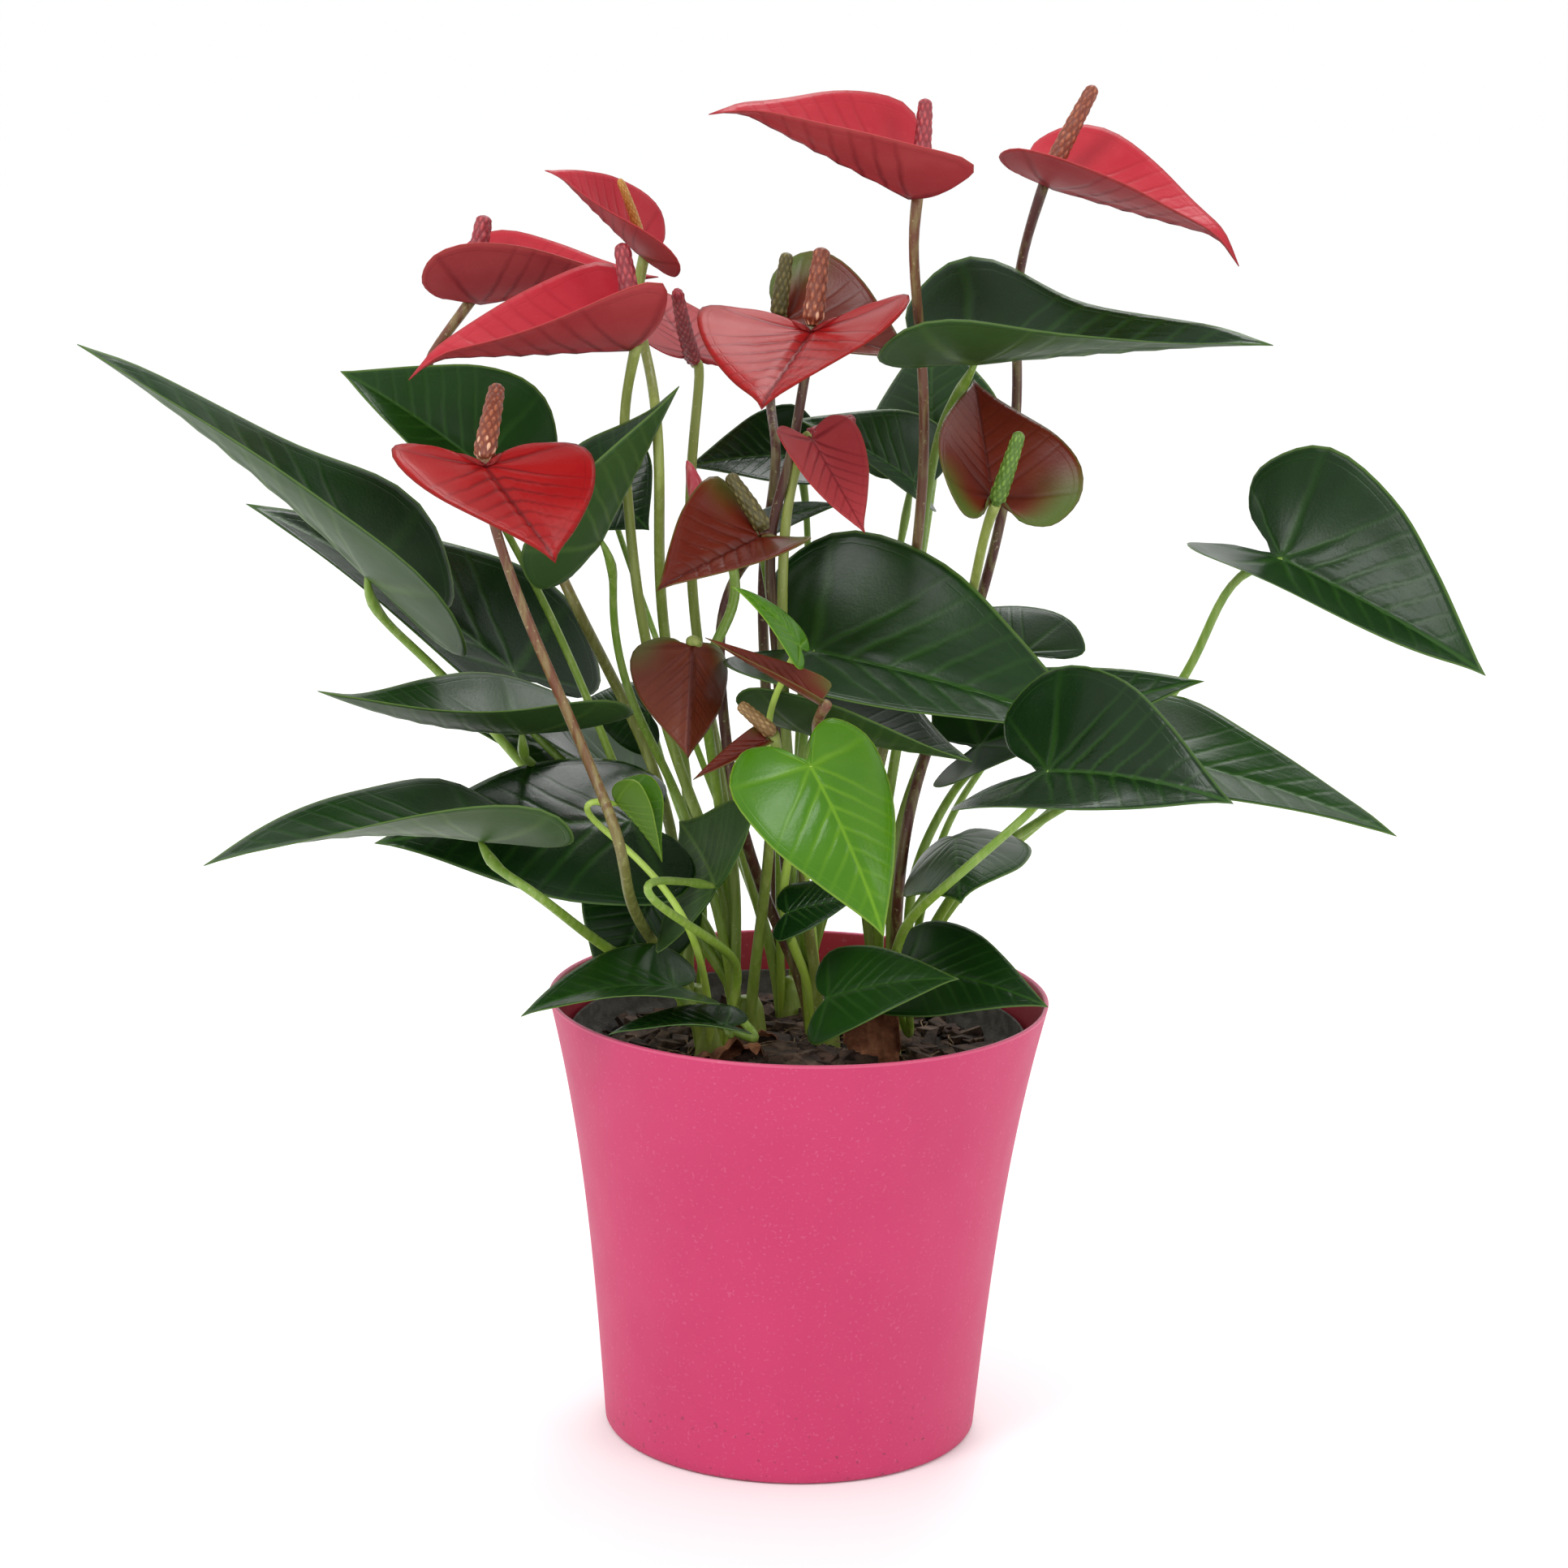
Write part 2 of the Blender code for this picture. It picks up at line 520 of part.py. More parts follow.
grow_leaf("leaf_26", shoot=4, at=(-4, 45, 187), length=36, width=34, heading=188, slope=-6, roll=-43,
          fold=20, lobe=0.2, petiole=((-2, 36, 98), (0, 41, 151)))
grow_leaf("leaf_27", shoot=5, at=(2, -27, 111), length=58, width=64, heading=327, slope=0, roll=-7, fold=31,
          lobe=0.3, arch=0, petiole=((-1, -9, 56), (3, -18, 84)))
grow_leaf("leaf_28", shoot=6, at=(70, 35, 126), length=36, width=42, heading=145, slope=11, roll=-38,
          fold=-9, lobe=0.4, petiole=((46, 27, 69), (66, 44, 98)))
grow_leaf("leaf_29", shoot=3, at=(-51, 40, 102), length=24, width=27, heading=192, slope=9, roll=-57,
          fold=-22, lobe=0.2, arch=1, petiole=((-32, 25, 49), (-45, 52, 78)))
grow_leaf("leaf_30", shoot=3, at=(-58, 42, 80), length=56, width=44, heading=196, slope=20, roll=-28,
          fold=-2, lobe=0.2, petiole=((-53, 47, 46),))
grow_leaf("leaf_31", shoot=6, at=(55, -5, 104), length=74, width=54, heading=348, slope=20, roll=32,
          fold=21, lobe=0.2, slim=0.5, petiole=((36, 19, 55), (48, 17, 84)))
grow_leaf("leaf_32", shoot=4, at=(-16, 12, 169), length=29, width=20, heading=338, slope=19, roll=27,
          fold=-1, lobe=0.2, arch=1, petiole=((-8, 25, 74), (-10, 20, 128)))
grow_leaf("leaf_33", shoot=5, at=(-2, -66, 146), length=28, width=18, heading=191, slope=42, roll=-27,
          fold=-3, lobe=0.15, young=True, petiole=((0, -22, 72), (-12, -43, 115)))

grow_flower("spathe_01", shoot=6, at=(28, -20, 276), length=72, width=64, heading=208, slope=25, roll=-15,
            fold=40, lobe=0.04, spadix=(32, -13, 305), spadix_radius=3.1,
            stalk=((19, 16, 63), (29, 9, 118), (34, 1, 169), (35, -5, 206), (30, -14, 254)))
grow_flower("spathe_02", shoot=6, at=(73, 15, 277), length=64, width=56, heading=337, slope=-12, roll=4,
            fold=34, lobe=0.22, spadix=(85, 20, 308), spadix_radius=3.1,
            stalk=((33, -4, 82), (51, 34, 127), (60, 16, 169), (66, 40, 207), (62, 22, 249)))
grow_flower("spathe_03", shoot=3, at=(-55, 0, 256), length=42, width=40, heading=218, slope=40, roll=-35,
            fold=34, lobe=0.22, spadix=(-60, -15, 279), spadix_radius=1.7,
            stalk=((-36, 14, 76), (-46, 2, 143), (-46, -35, 203), (-52, 4, 225), (-55, 1, 234)))
grow_flower("spathe_04", shoot=3, at=(-106, 35, 235), length=60, width=56, heading=345, slope=11, roll=0,
            fold=45, lobe=0.22, spadix=(-105, 40, 262), spadix_radius=3.7,
            stalk=((-42, 22, 74), (-63, 29, 117), (-76, -1, 151), (-89, 80, 158), (-94, 66, 186),
                    (-105, 36, 207), (-136, 40, 208)))
grow_flower("spathe_05", shoot=1, at=(-56, -25, 229), length=69, width=70, heading=201, slope=-1, roll=-4,
            fold=44, lobe=0.08, slim=0.5, spadix=(-59, -18, 260), spadix_radius=3.5,
            stalk=((-25, 7, 54), (-41, 1, 97), (-52, -5, 142), (-57, -11, 187), (-58, -17, 215)))
grow_flower("spathe_06", shoot=4, at=(-38, 23, 221), length=45, width=48, heading=121, slope=28, roll=-168,
            fold=-8, lobe=0.12, spadix=(-42, -17, 246), spadix_radius=2.8,
            stalk=((-23, 25, 73), (-35, 20, 130), (-38, 14, 181)))
grow_flower("spathe_07", shoot=5, at=(-1, -15, 234), length=57, width=68, heading=255, slope=-16, roll=6,
            fold=16, lobe=0.16, spadix=(2, -8, 259), spadix_radius=3.5,
            stalk=((-6, -1, 67), (-8, -5, 120), (-13, -8, 170), (-5, -11, 195), (-4, -5, 216)))
grow_flower("spathe_08", shoot=4, at=(-9, 35, 231), length=46, width=50, heading=334, slope=-10, roll=31,
            fold=29, lobe=0.25, spadix=(-9, 34, 253), spadix_radius=2.9, old=True,
            stalk=((-12, 37, 98), (-15, 38, 151), (-10, 19, 191), (-15, 51, 205)))
grow_flower("spathe_09", shoot=2, at=(-96, -65, 198), length=56, width=62, heading=297, slope=-20, roll=-1,
            fold=10, lobe=0.16, spadix=(-95, -36, 218), spadix_radius=3.5,
            stalk=((-39, -8, 28), (-52, -40, 57), (-54, -77, 87), (-63, -54, 101), (-71, -57, 121),
                    (-86, -60, 156), (-94, -54, 177)))
grow_flower("spathe_10", shoot=5, at=(-15, -35, 174), length=44, width=46, heading=225, slope=-15, roll=-21,
            fold=28, lobe=0.06, spadix=(-25, -31, 192), spadix_radius=2.9, old=True,
            stalk=((-12, -1, 53), (-22, -18, 91), (-27, -9, 126), (-27, -11, 148), (-21, -5, 160)))
grow_flower("spathe_11", shoot=5, at=(0, -20, 201), length=36, width=30, heading=310, slope=-44, roll=-169,
            fold=-22, lobe=0.16, spadix=(13, -4, 206), spadix_radius=2.6,
            stalk=((-2, -3, 67), (-7, -9, 121), (-8, -14, 166), (-6, -4, 187)))
grow_flower("spathe_12", shoot=1, at=(-35, -42, 140), length=35, width=44, heading=269, slope=-63, roll=164,
            fold=46, lobe=0.12, spadix=(-37, -29, 120), spadix_radius=2.2, old=True,
            stalk=((-21, 3, 55), (-27, -5, 94), (-32, -13, 124)))
grow_flower("spathe_13", shoot=6, at=(56, -20, 185), length=42, width=56, heading=103, slope=52, roll=12,
            fold=31, lobe=0.28, spadix=(63, -32, 207), spadix_radius=2.8, old=True,
            stalk=((30, 11, 70), (46, 20, 116), (52, -10, 159), (54, -15, 173)))
grow_flower("spathe_14", shoot=1, at=(-11, -55, 115), length=26, width=12, heading=197, slope=-25, roll=-20,
            fold=29, lobe=0.02, spadix=(-20, -56, 126), spadix_radius=2.5, old=True,
            stalk=((-11, -18, 63), (-9, -41, 100)))
grow_flower("spathe_15", shoot=5, at=(4, -70, 130), length=39, width=14, heading=177, slope=29, roll=-27,
            fold=52, lobe=0.02, old=True, stalk=((0, -20, 69), (4, -17, 100)))

grow_bud("flower_bud", shoot=1, at=(-27, -15, 172), tip=(-39, -15, 193), radius=3.6,
         stalk=((-23, 7, 54), (-28, -9, 94), (-32, -30, 133), (-20, -18, 151)))

make_shoots()
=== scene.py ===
"""Looks of the potted anthurium: its blades, stems, spadices, potting mix and pots, in fine detail."""
import math

import bpy
import numpy as np
from mathutils import Matrix, Vector


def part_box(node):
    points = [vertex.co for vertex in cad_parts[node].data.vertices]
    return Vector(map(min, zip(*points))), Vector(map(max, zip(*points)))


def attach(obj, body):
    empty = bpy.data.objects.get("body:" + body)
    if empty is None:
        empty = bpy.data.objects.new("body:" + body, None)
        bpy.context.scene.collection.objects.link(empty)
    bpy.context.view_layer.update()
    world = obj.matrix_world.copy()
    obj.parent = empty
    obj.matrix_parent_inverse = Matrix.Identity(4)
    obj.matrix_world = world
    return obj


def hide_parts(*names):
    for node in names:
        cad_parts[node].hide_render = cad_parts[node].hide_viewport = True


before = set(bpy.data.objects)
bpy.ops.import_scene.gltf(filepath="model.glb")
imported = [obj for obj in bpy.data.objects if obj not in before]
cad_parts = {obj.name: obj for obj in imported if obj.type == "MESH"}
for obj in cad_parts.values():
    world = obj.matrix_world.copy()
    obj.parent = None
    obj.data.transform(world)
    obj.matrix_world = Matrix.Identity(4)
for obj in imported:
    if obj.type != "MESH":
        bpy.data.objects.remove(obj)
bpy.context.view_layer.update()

MM = 0.001
rng = np.random.default_rng(11)

# Levels read from the frame.
COVER_HIGH = np.array(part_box("cover_pot")[1])
NURSERY_LOW, NURSERY_HIGH = (np.array(corner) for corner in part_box("nursery_pot"))
MIX_LOW, MIX_HIGH = (np.array(corner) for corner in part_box("potting_mix"))
COVER_HEIGHT = COVER_HIGH[2]
RIM_RADIUS = COVER_HIGH[0]
BASE_RADIUS = 0.060
COVER_WALL = 0.0015
COVER_FLOOR = 0.002
SOIL_MOUND = 0.005
SOIL_LEVEL = MIX_HIGH[2] - SOIL_MOUND
MIX_RADIUS = MIX_HIGH[0]
MIX_FOOT_RADIUS = 0.050
BED_DROP = 0.002  # the bed lies this far under the mound, so that bark and fibres stand on it

# Sizes that the plant shares with the CAD.
CROWN_HEIGHT = 0.016
STEM_RISE = 0.004
SPLIT_FROM_AXIS = 0.0035
SPREAD_ABOVE_CROWN = 0.002
LEAF_THICKNESS = 0.0006
SPATHE_THICKNESS = 0.0007
STALK_RADIUS = 0.0016
CROWNS = {1: (-0.016, 0.006), 2: (-0.027, -0.014), 3: (-0.033, 0.018), 4: (-0.002, 0.030),
          5: (0.008, 0.002), 6: (0.030, 0.022), 7: (0.027, -0.012)}

LEAF_HALF = ((0.0, 1.0), (0.05, 0.955), (0.23, 0.83), (0.56, 0.60), (0.86, 0.34), (1.0, 0.05),
             (0.93, -0.50), (0.62, -1.0), (0.27, -0.80), (0.08, -0.32), (0.0, -0.18))
SPATHE_HALF = ((0.0, 1.0), (0.04, 0.955), (0.17, 0.87), (0.47, 0.68), (0.80, 0.42), (1.0, 0.12),
               (0.95, -0.45), (0.66, -1.0), (0.34, -0.85), (0.19, -0.45), (0.13, -0.12), (0.0, -0.06))


# Curves and frames

def smooth_path(points, count):
    """Catmull-Rom curve through the points, read at evenly spaced places."""
    given = np.array(points, float)
    held = np.vstack([2 * given[0] - given[1], given, 2 * given[-1] - given[-2]])
    fine = []
    for before, start, end, after in zip(held, held[1:], held[2:], held[3:]):
        for t in np.linspace(0, 1, 24, endpoint=False):
            fine.append(0.5 * (2 * start + (end - before) * t
                               + (2 * before - 5 * start + 4 * end - after) * t ** 2
                               + (3 * start - before - 3 * end + after) * t ** 3))
    fine = np.array([*fine, given[-1]])
    run = np.concatenate([[0], np.cumsum(np.linalg.norm(np.diff(fine, axis=0), axis=1))])
    places = np.linspace(0, run[-1], count)
    return np.stack([np.interp(places, run, fine[:, axis]) for axis in range(fine.shape[1])], 1)


def blade_axes(heading, slope, roll):
    """Unit vectors across, along and out of a blade, as in the CAD."""
    h, s, r = (math.radians(angle) for angle in (heading, slope, roll))
    along = np.array([math.cos(s) * math.cos(h), math.cos(s) * math.sin(h), math.sin(s)])
    level = np.array([math.sin(h), -math.cos(h), 0.0])
    across = math.cos(r) * level - math.sin(r) * np.cross(level, along)
    return across, along, np.cross(across, along)


def plant_place(points):
    """Plant positions in mm from the middle of the soil level, to metres in the frame."""
    return np.array(points, float).reshape(-1, 3) * MM + np.array([0, 0, SOIL_LEVEL])


def step(low, high, value):
    """Smooth 0 to 1 between low and high."""
    share = np.clip((value - low) / (high - low), 0, 1)
    return share * share * (3 - 2 * share)


# Node materials

class Look:
    """A Principled material and short ways to add nodes to it."""

    def __init__(self, name, roughness=0.4):
        self.material = bpy.data.materials.new(name)
        self.material.use_nodes = True
        self.tree = self.material.node_tree
        self.shader = self.tree.nodes["Principled BSDF"]
        self.shader.inputs["Roughness"].default_value = roughness

    def node(self, kind, **settings):
        made = self.tree.nodes.new(kind)
        for key, value in settings.items():
            setattr(made, key, value)
        return made

    def join(self, value, socket):
        if isinstance(value, bpy.types.NodeSocket):
            self.tree.links.new(value, socket)
        elif isinstance(value, tuple) and len(value) == 3 and len(socket.default_value) == 4:
            socket.default_value = (*value, 1.0)
        else:
            socket.default_value = value

    def math(self, operation, *values):
        made = self.node("ShaderNodeMath", operation=operation)
        for value, socket in zip(values, made.inputs):
            self.join(value, socket)
        return made.outputs[0]

    def times(self, one, two):
        return self.math("MULTIPLY", one, two)

    def plus(self, one, two):
        return self.math("ADD", one, two)

    def less(self, one, two):
        return self.math("SUBTRACT", one, two)

    def ramp(self, value, low, high, start=0.0, end=1.0):
        made = self.node("ShaderNodeMapRange", interpolation_type="SMOOTHSTEP")
        for item, socket in zip((value, low, high, start, end), made.inputs):
            self.join(item, socket)
        return made.outputs[0]

    def mix(self, share, first, second, blend="MIX"):
        made = self.node("ShaderNodeMix", data_type="RGBA", blend_type=blend)
        self.join(share, made.inputs[0])
        self.join(first, made.inputs[6])
        self.join(second, made.inputs[7])
        return made.outputs[2]

    def tint(self, colour, mask, share, other):
        """The colour, with a share of the other one where the mask is."""
        return self.mix(self.times(mask, share), colour, other)

    def attribute(self, name):
        made = self.node("ShaderNodeAttribute", attribute_name=name)
        parts = self.node("ShaderNodeSeparateXYZ")
        self.join(made.outputs["Vector"], parts.inputs[0])
        return parts.outputs

    def place(self, scale=(1, 1, 1)):
        where = self.node("ShaderNodeTexCoord").outputs["Object"]
        made = self.node("ShaderNodeMapping")
        self.join(where, made.inputs["Vector"])
        made.inputs["Scale"].default_value = scale
        return made.outputs[0]

    def noise(self, size, detail=4.0, scale=(1, 1, 1), vector=None):
        """Noise with features of about `size` metres."""
        made = self.node("ShaderNodeTexNoise")
        self.join(vector or self.place(scale), made.inputs["Vector"])
        made.inputs["Scale"].default_value = 1 / size
        made.inputs["Detail"].default_value = detail
        return made.outputs["Fac"]

    def finish(self, colour, height=None, bump=0.2, distance=0.0005, roughness=None):
        self.join(colour, self.shader.inputs["Base Color"])
        if roughness is not None:
            self.join(roughness, self.shader.inputs["Roughness"])
        if height is not None:
            made = self.node("ShaderNodeBump")
            made.inputs["Strength"].default_value = bump
            made.inputs["Distance"].default_value = distance
            self.join(height, made.inputs["Height"])
            self.join(made.outputs[0], self.shader.inputs["Normal"])
        return self.material


VEIN_RISE = 0.42
VEINS = 8.0
LOBE_VEIN_ANGLE = math.radians(27)


def vein_nodes(look, width):
    """Vein mask, margin mask and the blade coordinates, from the mesh's blade attribute."""
    across, along, ring = look.attribute("blade")
    u = look.math("ABSOLUTE", across)
    wobble = look.times(look.less(look.noise(0.012), 0.5), 0.05)
    lean = look.less(look.plus(along, wobble), look.times(u, VEIN_RISE))
    lateral = look.math("PINGPONG", look.times(look.plus(lean, 0.004), VEINS), 0.5)
    side = look.ramp(lateral, 0.0, 10 * width, 1.0, 0.0)
    side = look.times(side, look.ramp(lean, -0.03, 0.0))
    angle = look.math("ARCTAN2", look.plus(along, wobble), u)
    rays = look.math("PINGPONG", look.math("DIVIDE", look.less(angle, math.atan(VEIN_RISE)),
                                           LOBE_VEIN_ANGLE), 0.5)
    spread = look.times(rays, ring)
    lobe = look.times(look.ramp(spread, 0.0, 3.2 * width, 1.0, 0.0), look.ramp(lean, 0.03, -0.01))
    keel = look.ramp(u, 0.3 * width, 1.6 * width, 1.0, 0.0)
    keel = look.times(keel, look.ramp(along, -0.04, 0.0))
    near_edge = look.math("ABSOLUTE", look.less(ring, 0.91))
    collecting = look.ramp(near_edge, 0.0, 0.5 * width, 0.7, 0.0)
    fine = look.math("MAXIMUM", look.math("MAXIMUM", side, lobe), collecting)
    fine = look.times(fine, look.ramp(ring, 1.0, 0.2, 0.35, 1.0))
    margin = look.ramp(ring, 0.972, 0.992)
    return fine, keel, margin, along, ring


def blade_look(name, base, light, vein, edge, width=0.022, roughness=0.32, vein_share=0.5, keel_share=0.8,
               blotch=0.35, lobe_colour=None, coat=0.15, shine=0.20):
    """A waxy blade: mottled colour, veins, a pale margin and a fine grain."""
    look = Look(name, roughness)
    fine, keel, margin, along, ring = vein_nodes(look, width)
    cloud = look.ramp(look.noise(0.018, 5.0), 0.35, 0.7)
    colour = look.tint(base, cloud, blotch, light)
    speck = look.ramp(look.noise(0.0016, 2.0), 0.62, 0.75)
    colour = look.tint(colour, speck, 0.18, light)
    if lobe_colour:
        tint = look.times(look.ramp(along, 0.25, -0.15), look.ramp(ring, 0.35, 0.9))
        colour = look.tint(colour, tint, 0.85, lobe_colour)
    colour = look.tint(colour, fine, vein_share, vein)
    colour = look.tint(colour, keel, keel_share, vein)
    colour = look.tint(colour, margin, 0.75, edge)
    grain = look.noise(0.0009, 3.0)
    height = look.plus(look.times(fine, -0.8), look.times(grain, 0.25))
    height = look.plus(height, look.times(look.noise(0.009, 2.0), 0.45))
    rough = look.plus(roughness - 0.06, look.times(look.noise(0.01), 0.14))
    look.shader.inputs["Coat Weight"].default_value = coat * 0.4
    look.shader.inputs["Coat Roughness"].default_value = 0.2
    look.shader.inputs["Specular IOR Level"].default_value = shine
    return look.finish(colour, height, 0.35, 0.0006, rough)


def stem_look(name, foot, middle, head, roughness=0.42, change=(0.25, 0.75)):
    """A stem whose colour runs from foot to head, with long streaks and small pale dots."""
    look = Look(name, roughness)
    run, _, _ = look.attribute("run")
    wander = look.plus(run, look.times(look.less(look.noise(0.03), 0.5), 0.25))
    colour = look.mix(look.ramp(wander, 0.0, change[0]), foot, middle)
    colour = look.mix(look.ramp(wander, change[0], change[1]), colour, head)
    streak = look.ramp(look.noise(0.0022, 3.0, (1, 1, 0.06)), 0.42, 0.66)
    pale = look.mix(0.35, colour, (0.55, 0.62, 0.22))
    colour = look.tint(colour, streak, 0.5, pale)
    dots = look.ramp(look.noise(0.0012, 1.0), 0.66, 0.74)
    colour = look.tint(colour, dots, 0.35, (0.5, 0.5, 0.25))
    height = look.plus(streak, look.noise(0.0015, 2.0))
    return look.finish(colour, height, 0.25, 0.0003)


def spadix_look(name, low, high, dots=None):
    """Tiny packed flowers: painted shade between them, painted light on their crests, with pale stigmas
    near the foot.
    """
    look = Look(name, 0.5)
    bump, run, knob = look.attribute("knob")
    mottled = look.ramp(look.noise(0.002, 2.0), 0.3, 0.7)
    # Painted shade: the low colour fills the gaps between the flowers and the high colour their crests,
    # following the knob height.
    colour = look.mix(look.ramp(bump, 0.1, 0.8), low, look.mix(mottled, high, low))
    if dots:
        colour = look.tint(colour, look.ramp(knob, 0.35, 0.6), 0.9, dots)
    return look.finish(colour, look.noise(0.0008, 2.0), 0.3, 0.0003)


# Mesh pieces

def put(name, data):
    made = bpy.data.objects.new(name, data)
    bpy.context.scene.collection.objects.link(made)
    return made


def add_piece(name, points, faces, materials, replaces=(), indices=None, smooth=True):
    mesh = bpy.data.meshes.new(name)
    mesh.from_pydata([tuple(point) for point in points], [], [tuple(face) for face in faces])
    for material in materials:
        mesh.materials.append(material)
    if indices is not None:
        mesh.polygons.foreach_set("material_index", indices)
    if smooth:
        mesh.shade_smooth()
    mesh.validate()
    piece = put(name, mesh)
    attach(piece, "root")
    if replaces:
        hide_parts(*replaces)
    return piece


def note(piece, name, values):
    """Keeps one vector at each mesh point for the material to read."""
    made = piece.data.attributes.new(name, "FLOAT_VECTOR", "POINT")
    made.data.foreach_set("vector", np.array(values, float).ravel())


def shell_faces(faces, count, rim):
    """A surface's faces, the same faces turned over on its under points, and a rim between."""
    under = [tuple(corner + count for corner in face[::-1]) for face in faces]
    edge = []
    for here, beside in zip(rim, rim[1:] + rim[:1]):
        edge.append((here, beside, beside + count, here + count))
    return faces + under + edge


BLADE_SIDE = 30
BLADE_RINGS = 16
MIDRIB_NUDGE = 1e-6  # keeps an angle on the midrib defined
NO_LENGTH = 1e-12  # keeps a division by a zero length out


def relief(u, v, ring, depth):
    """Height in mm that the veins press into a blade: soft pillows between lateral veins."""
    lean = v - VEIN_RISE * np.abs(u) + 0.004
    lateral = np.abs(((lean * VEINS + 0.5) % 1.0) - 0.5) * 2
    angle = np.arctan2(v, np.abs(u) + MIDRIB_NUDGE)
    rays = np.abs((((angle - math.atan(VEIN_RISE)) / LOBE_VEIN_ANGLE + 0.5) % 1.0) - 0.5) * 2
    pillow = np.where(lean > 0, lateral, rays * ring)
    keel = 1 - step(0.0, 0.10, np.abs(u))
    inside = step(0.0, 0.12, ring) * (1 - step(0.88, 1.0, ring))
    return depth * (np.sqrt(np.clip(pillow, 0, 1)) * inside - 1.2 * keel * step(-0.05, 0.05, v))


def blade_points(half, s):
    """A blade's surface in mm, its own coordinates u, v and ring, and the points in its outline."""
    points = []
    for across, along in half:
        if along > 0:
            points.append((across * (1 - s["slim"] * 1.2 * along * (1 - along)), along))
        else:
            points.append((across, along * s["lobe"]))
    right = smooth_path(points, BLADE_SIDE + 1)
    right[0, 0] = right[-1, 0] = 0.0
    loop = np.vstack([right, right[-2:0:-1] * np.array([-1, 1])])
    radial = (np.arange(1, BLADE_RINGS + 1) / BLADE_RINGS) ** 0.85
    flat = np.vstack([[(0.0, 0.0)], *[loop * share for share in radial]])
    ring = np.concatenate([[0.0], np.repeat(radial, len(loop))])
    u, v = flat[:, 0], flat[:, 1]
    fold = math.radians(s["fold"])
    half_width = s["width"] / 2
    x = u * half_width * math.cos(fold)
    y = v * s["length"]
    z = half_width * math.sin(fold) * (np.abs(u) + u ** 2) / 2 + s["arch"] * 4 * v * (1 - v)
    phase = s["phase"]
    wave = np.sin(5.3 * v + phase + 1.7 * np.sign(u)) * ring ** 4 * np.abs(u) ** 0.5
    z += s["wave"] * wave * step(1.0, 0.75, v)
    beyond = np.clip((v - 0.8) / 0.2, 0, 1)
    z -= s["hook"] * beyond ** 2
    back = np.clip(-v / max(s["lobe"], 0.02), 0, 1.2)
    z += s["lobe_lift"] * back ** 2
    z += relief(u, v, ring, s["relief"])
    across, along, out = blade_axes(s["heading"], s["slope"], s["roll"])
    placed = np.array(s["at"], float) + np.stack([x, y, z], 1) @ np.stack([across, along, out])
    return placed, u, v, ring, len(loop)


def make_blade(name, half, s, thickness, top, under):
    placed, u, v, ring, count = blade_points(half, s)
    faces = []
    for here in range(count):
        beside = (here + 1) % count
        faces.append((0, 1 + beside, 1 + here))
        for level in range(1, BLADE_RINGS):
            inner, outer = 1 + (level - 1) * count, 1 + level * count
            faces.append((inner + here, inner + beside, outer + beside, outer + here))
    surface = plant_place(placed)
    corners = np.array([(*face, face[-1]) if len(face) == 3 else face for face in faces])
    normal = np.cross(surface[corners[:, 2]] - surface[corners[:, 0]],
                      surface[corners[:, 3]] - surface[corners[:, 1]])
    triangle = corners[:, 2] == corners[:, 3]
    spans = surface[corners[triangle]]
    normal[triangle] = np.cross(spans[:, 1] - spans[:, 0], spans[:, 2] - spans[:, 0])
    point_normal = np.zeros_like(surface)
    for column in range(4):
        np.add.at(point_normal, corners[:, column], normal)
    point_normal /= np.linalg.norm(point_normal, axis=1)[:, None] + NO_LENGTH
    depth = thickness * (1 - 0.55 * ring ** 6)
    points = np.vstack([surface, surface - point_normal * depth[:, None]])
    first = 1 + (BLADE_RINGS - 1) * count
    rim = [first + corner for corner in range(count)]
    every = shell_faces(faces, len(surface), rim)
    indices = [0] * len(faces) + [1] * len(faces) + [0] * count
    piece = add_piece(name, points, every, [top, under], (name,), indices)
    note(piece, "blade", np.tile(np.stack([u, v, ring], 1), (2, 1)))
    return piece


def tube_points(path, radii, sides):
    """Rings of points round a path, then its two ends."""
    path = np.array(path, float)
    along = np.gradient(path, axis=0)
    along /= np.linalg.norm(along, axis=1)[:, None]
    across = np.cross(along[0], (0, 1, 0) if abs(along[0][1]) < 0.9 else (1, 0, 0))
    rows = []
    angles = 2 * math.pi * np.arange(sides) / sides
    for place, ahead, radius in zip(path, along, radii):
        across = across - ahead * (across @ ahead)
        across /= np.linalg.norm(across)
        other = np.cross(ahead, across)
        rows.append(place + radius * (np.outer(np.cos(angles), across) + np.outer(np.sin(angles), other)))
    return np.vstack([*rows, path[:1], path[-1:]])


def tube_faces(rings, sides):
    faces = []
    foot, head = rings * sides, rings * sides + 1
    for side in range(sides):
        beside = (side + 1) % sides
        for ring in range(0, (rings - 1) * sides, sides):
            faces.append((ring + side, ring + beside, ring + sides + beside, ring + sides + side))
        last = (rings - 1) * sides
        faces += [(foot, beside, side), (head, last + side, last + beside)]
    return faces


STEM_SIDES = 14
STEM_EASING = 14
STEM_RADIUS = 0.0019
PETIOLE_STATIONS = 46
PETIOLE_DROP = 0.007  # it comes up to the blade from this far under it, or from
PETIOLE_DROP_SHARE = 0.12  # this share of a small blade's length
PETIOLE_BACK = 0.0015
PETIOLE_UNDER = 0.0004
PETIOLE_AHEAD = 0.0006
PETIOLE_TAPER = 0.3
KNEE = 0.0005  # the thicker joint just under a blade
KNEE_PLACE, KNEE_LENGTH = 0.93, 0.03
STALK_STATIONS = 54
STALK_GAP = 0.0005
STALK_BELOW, STALK_ABOVE = 0.006, 0.001
STALK_TAPER, STALK_SWELLING = 0.0004, 0.0003
SHOOT_MESHES = {number: [] for number in CROWNS}


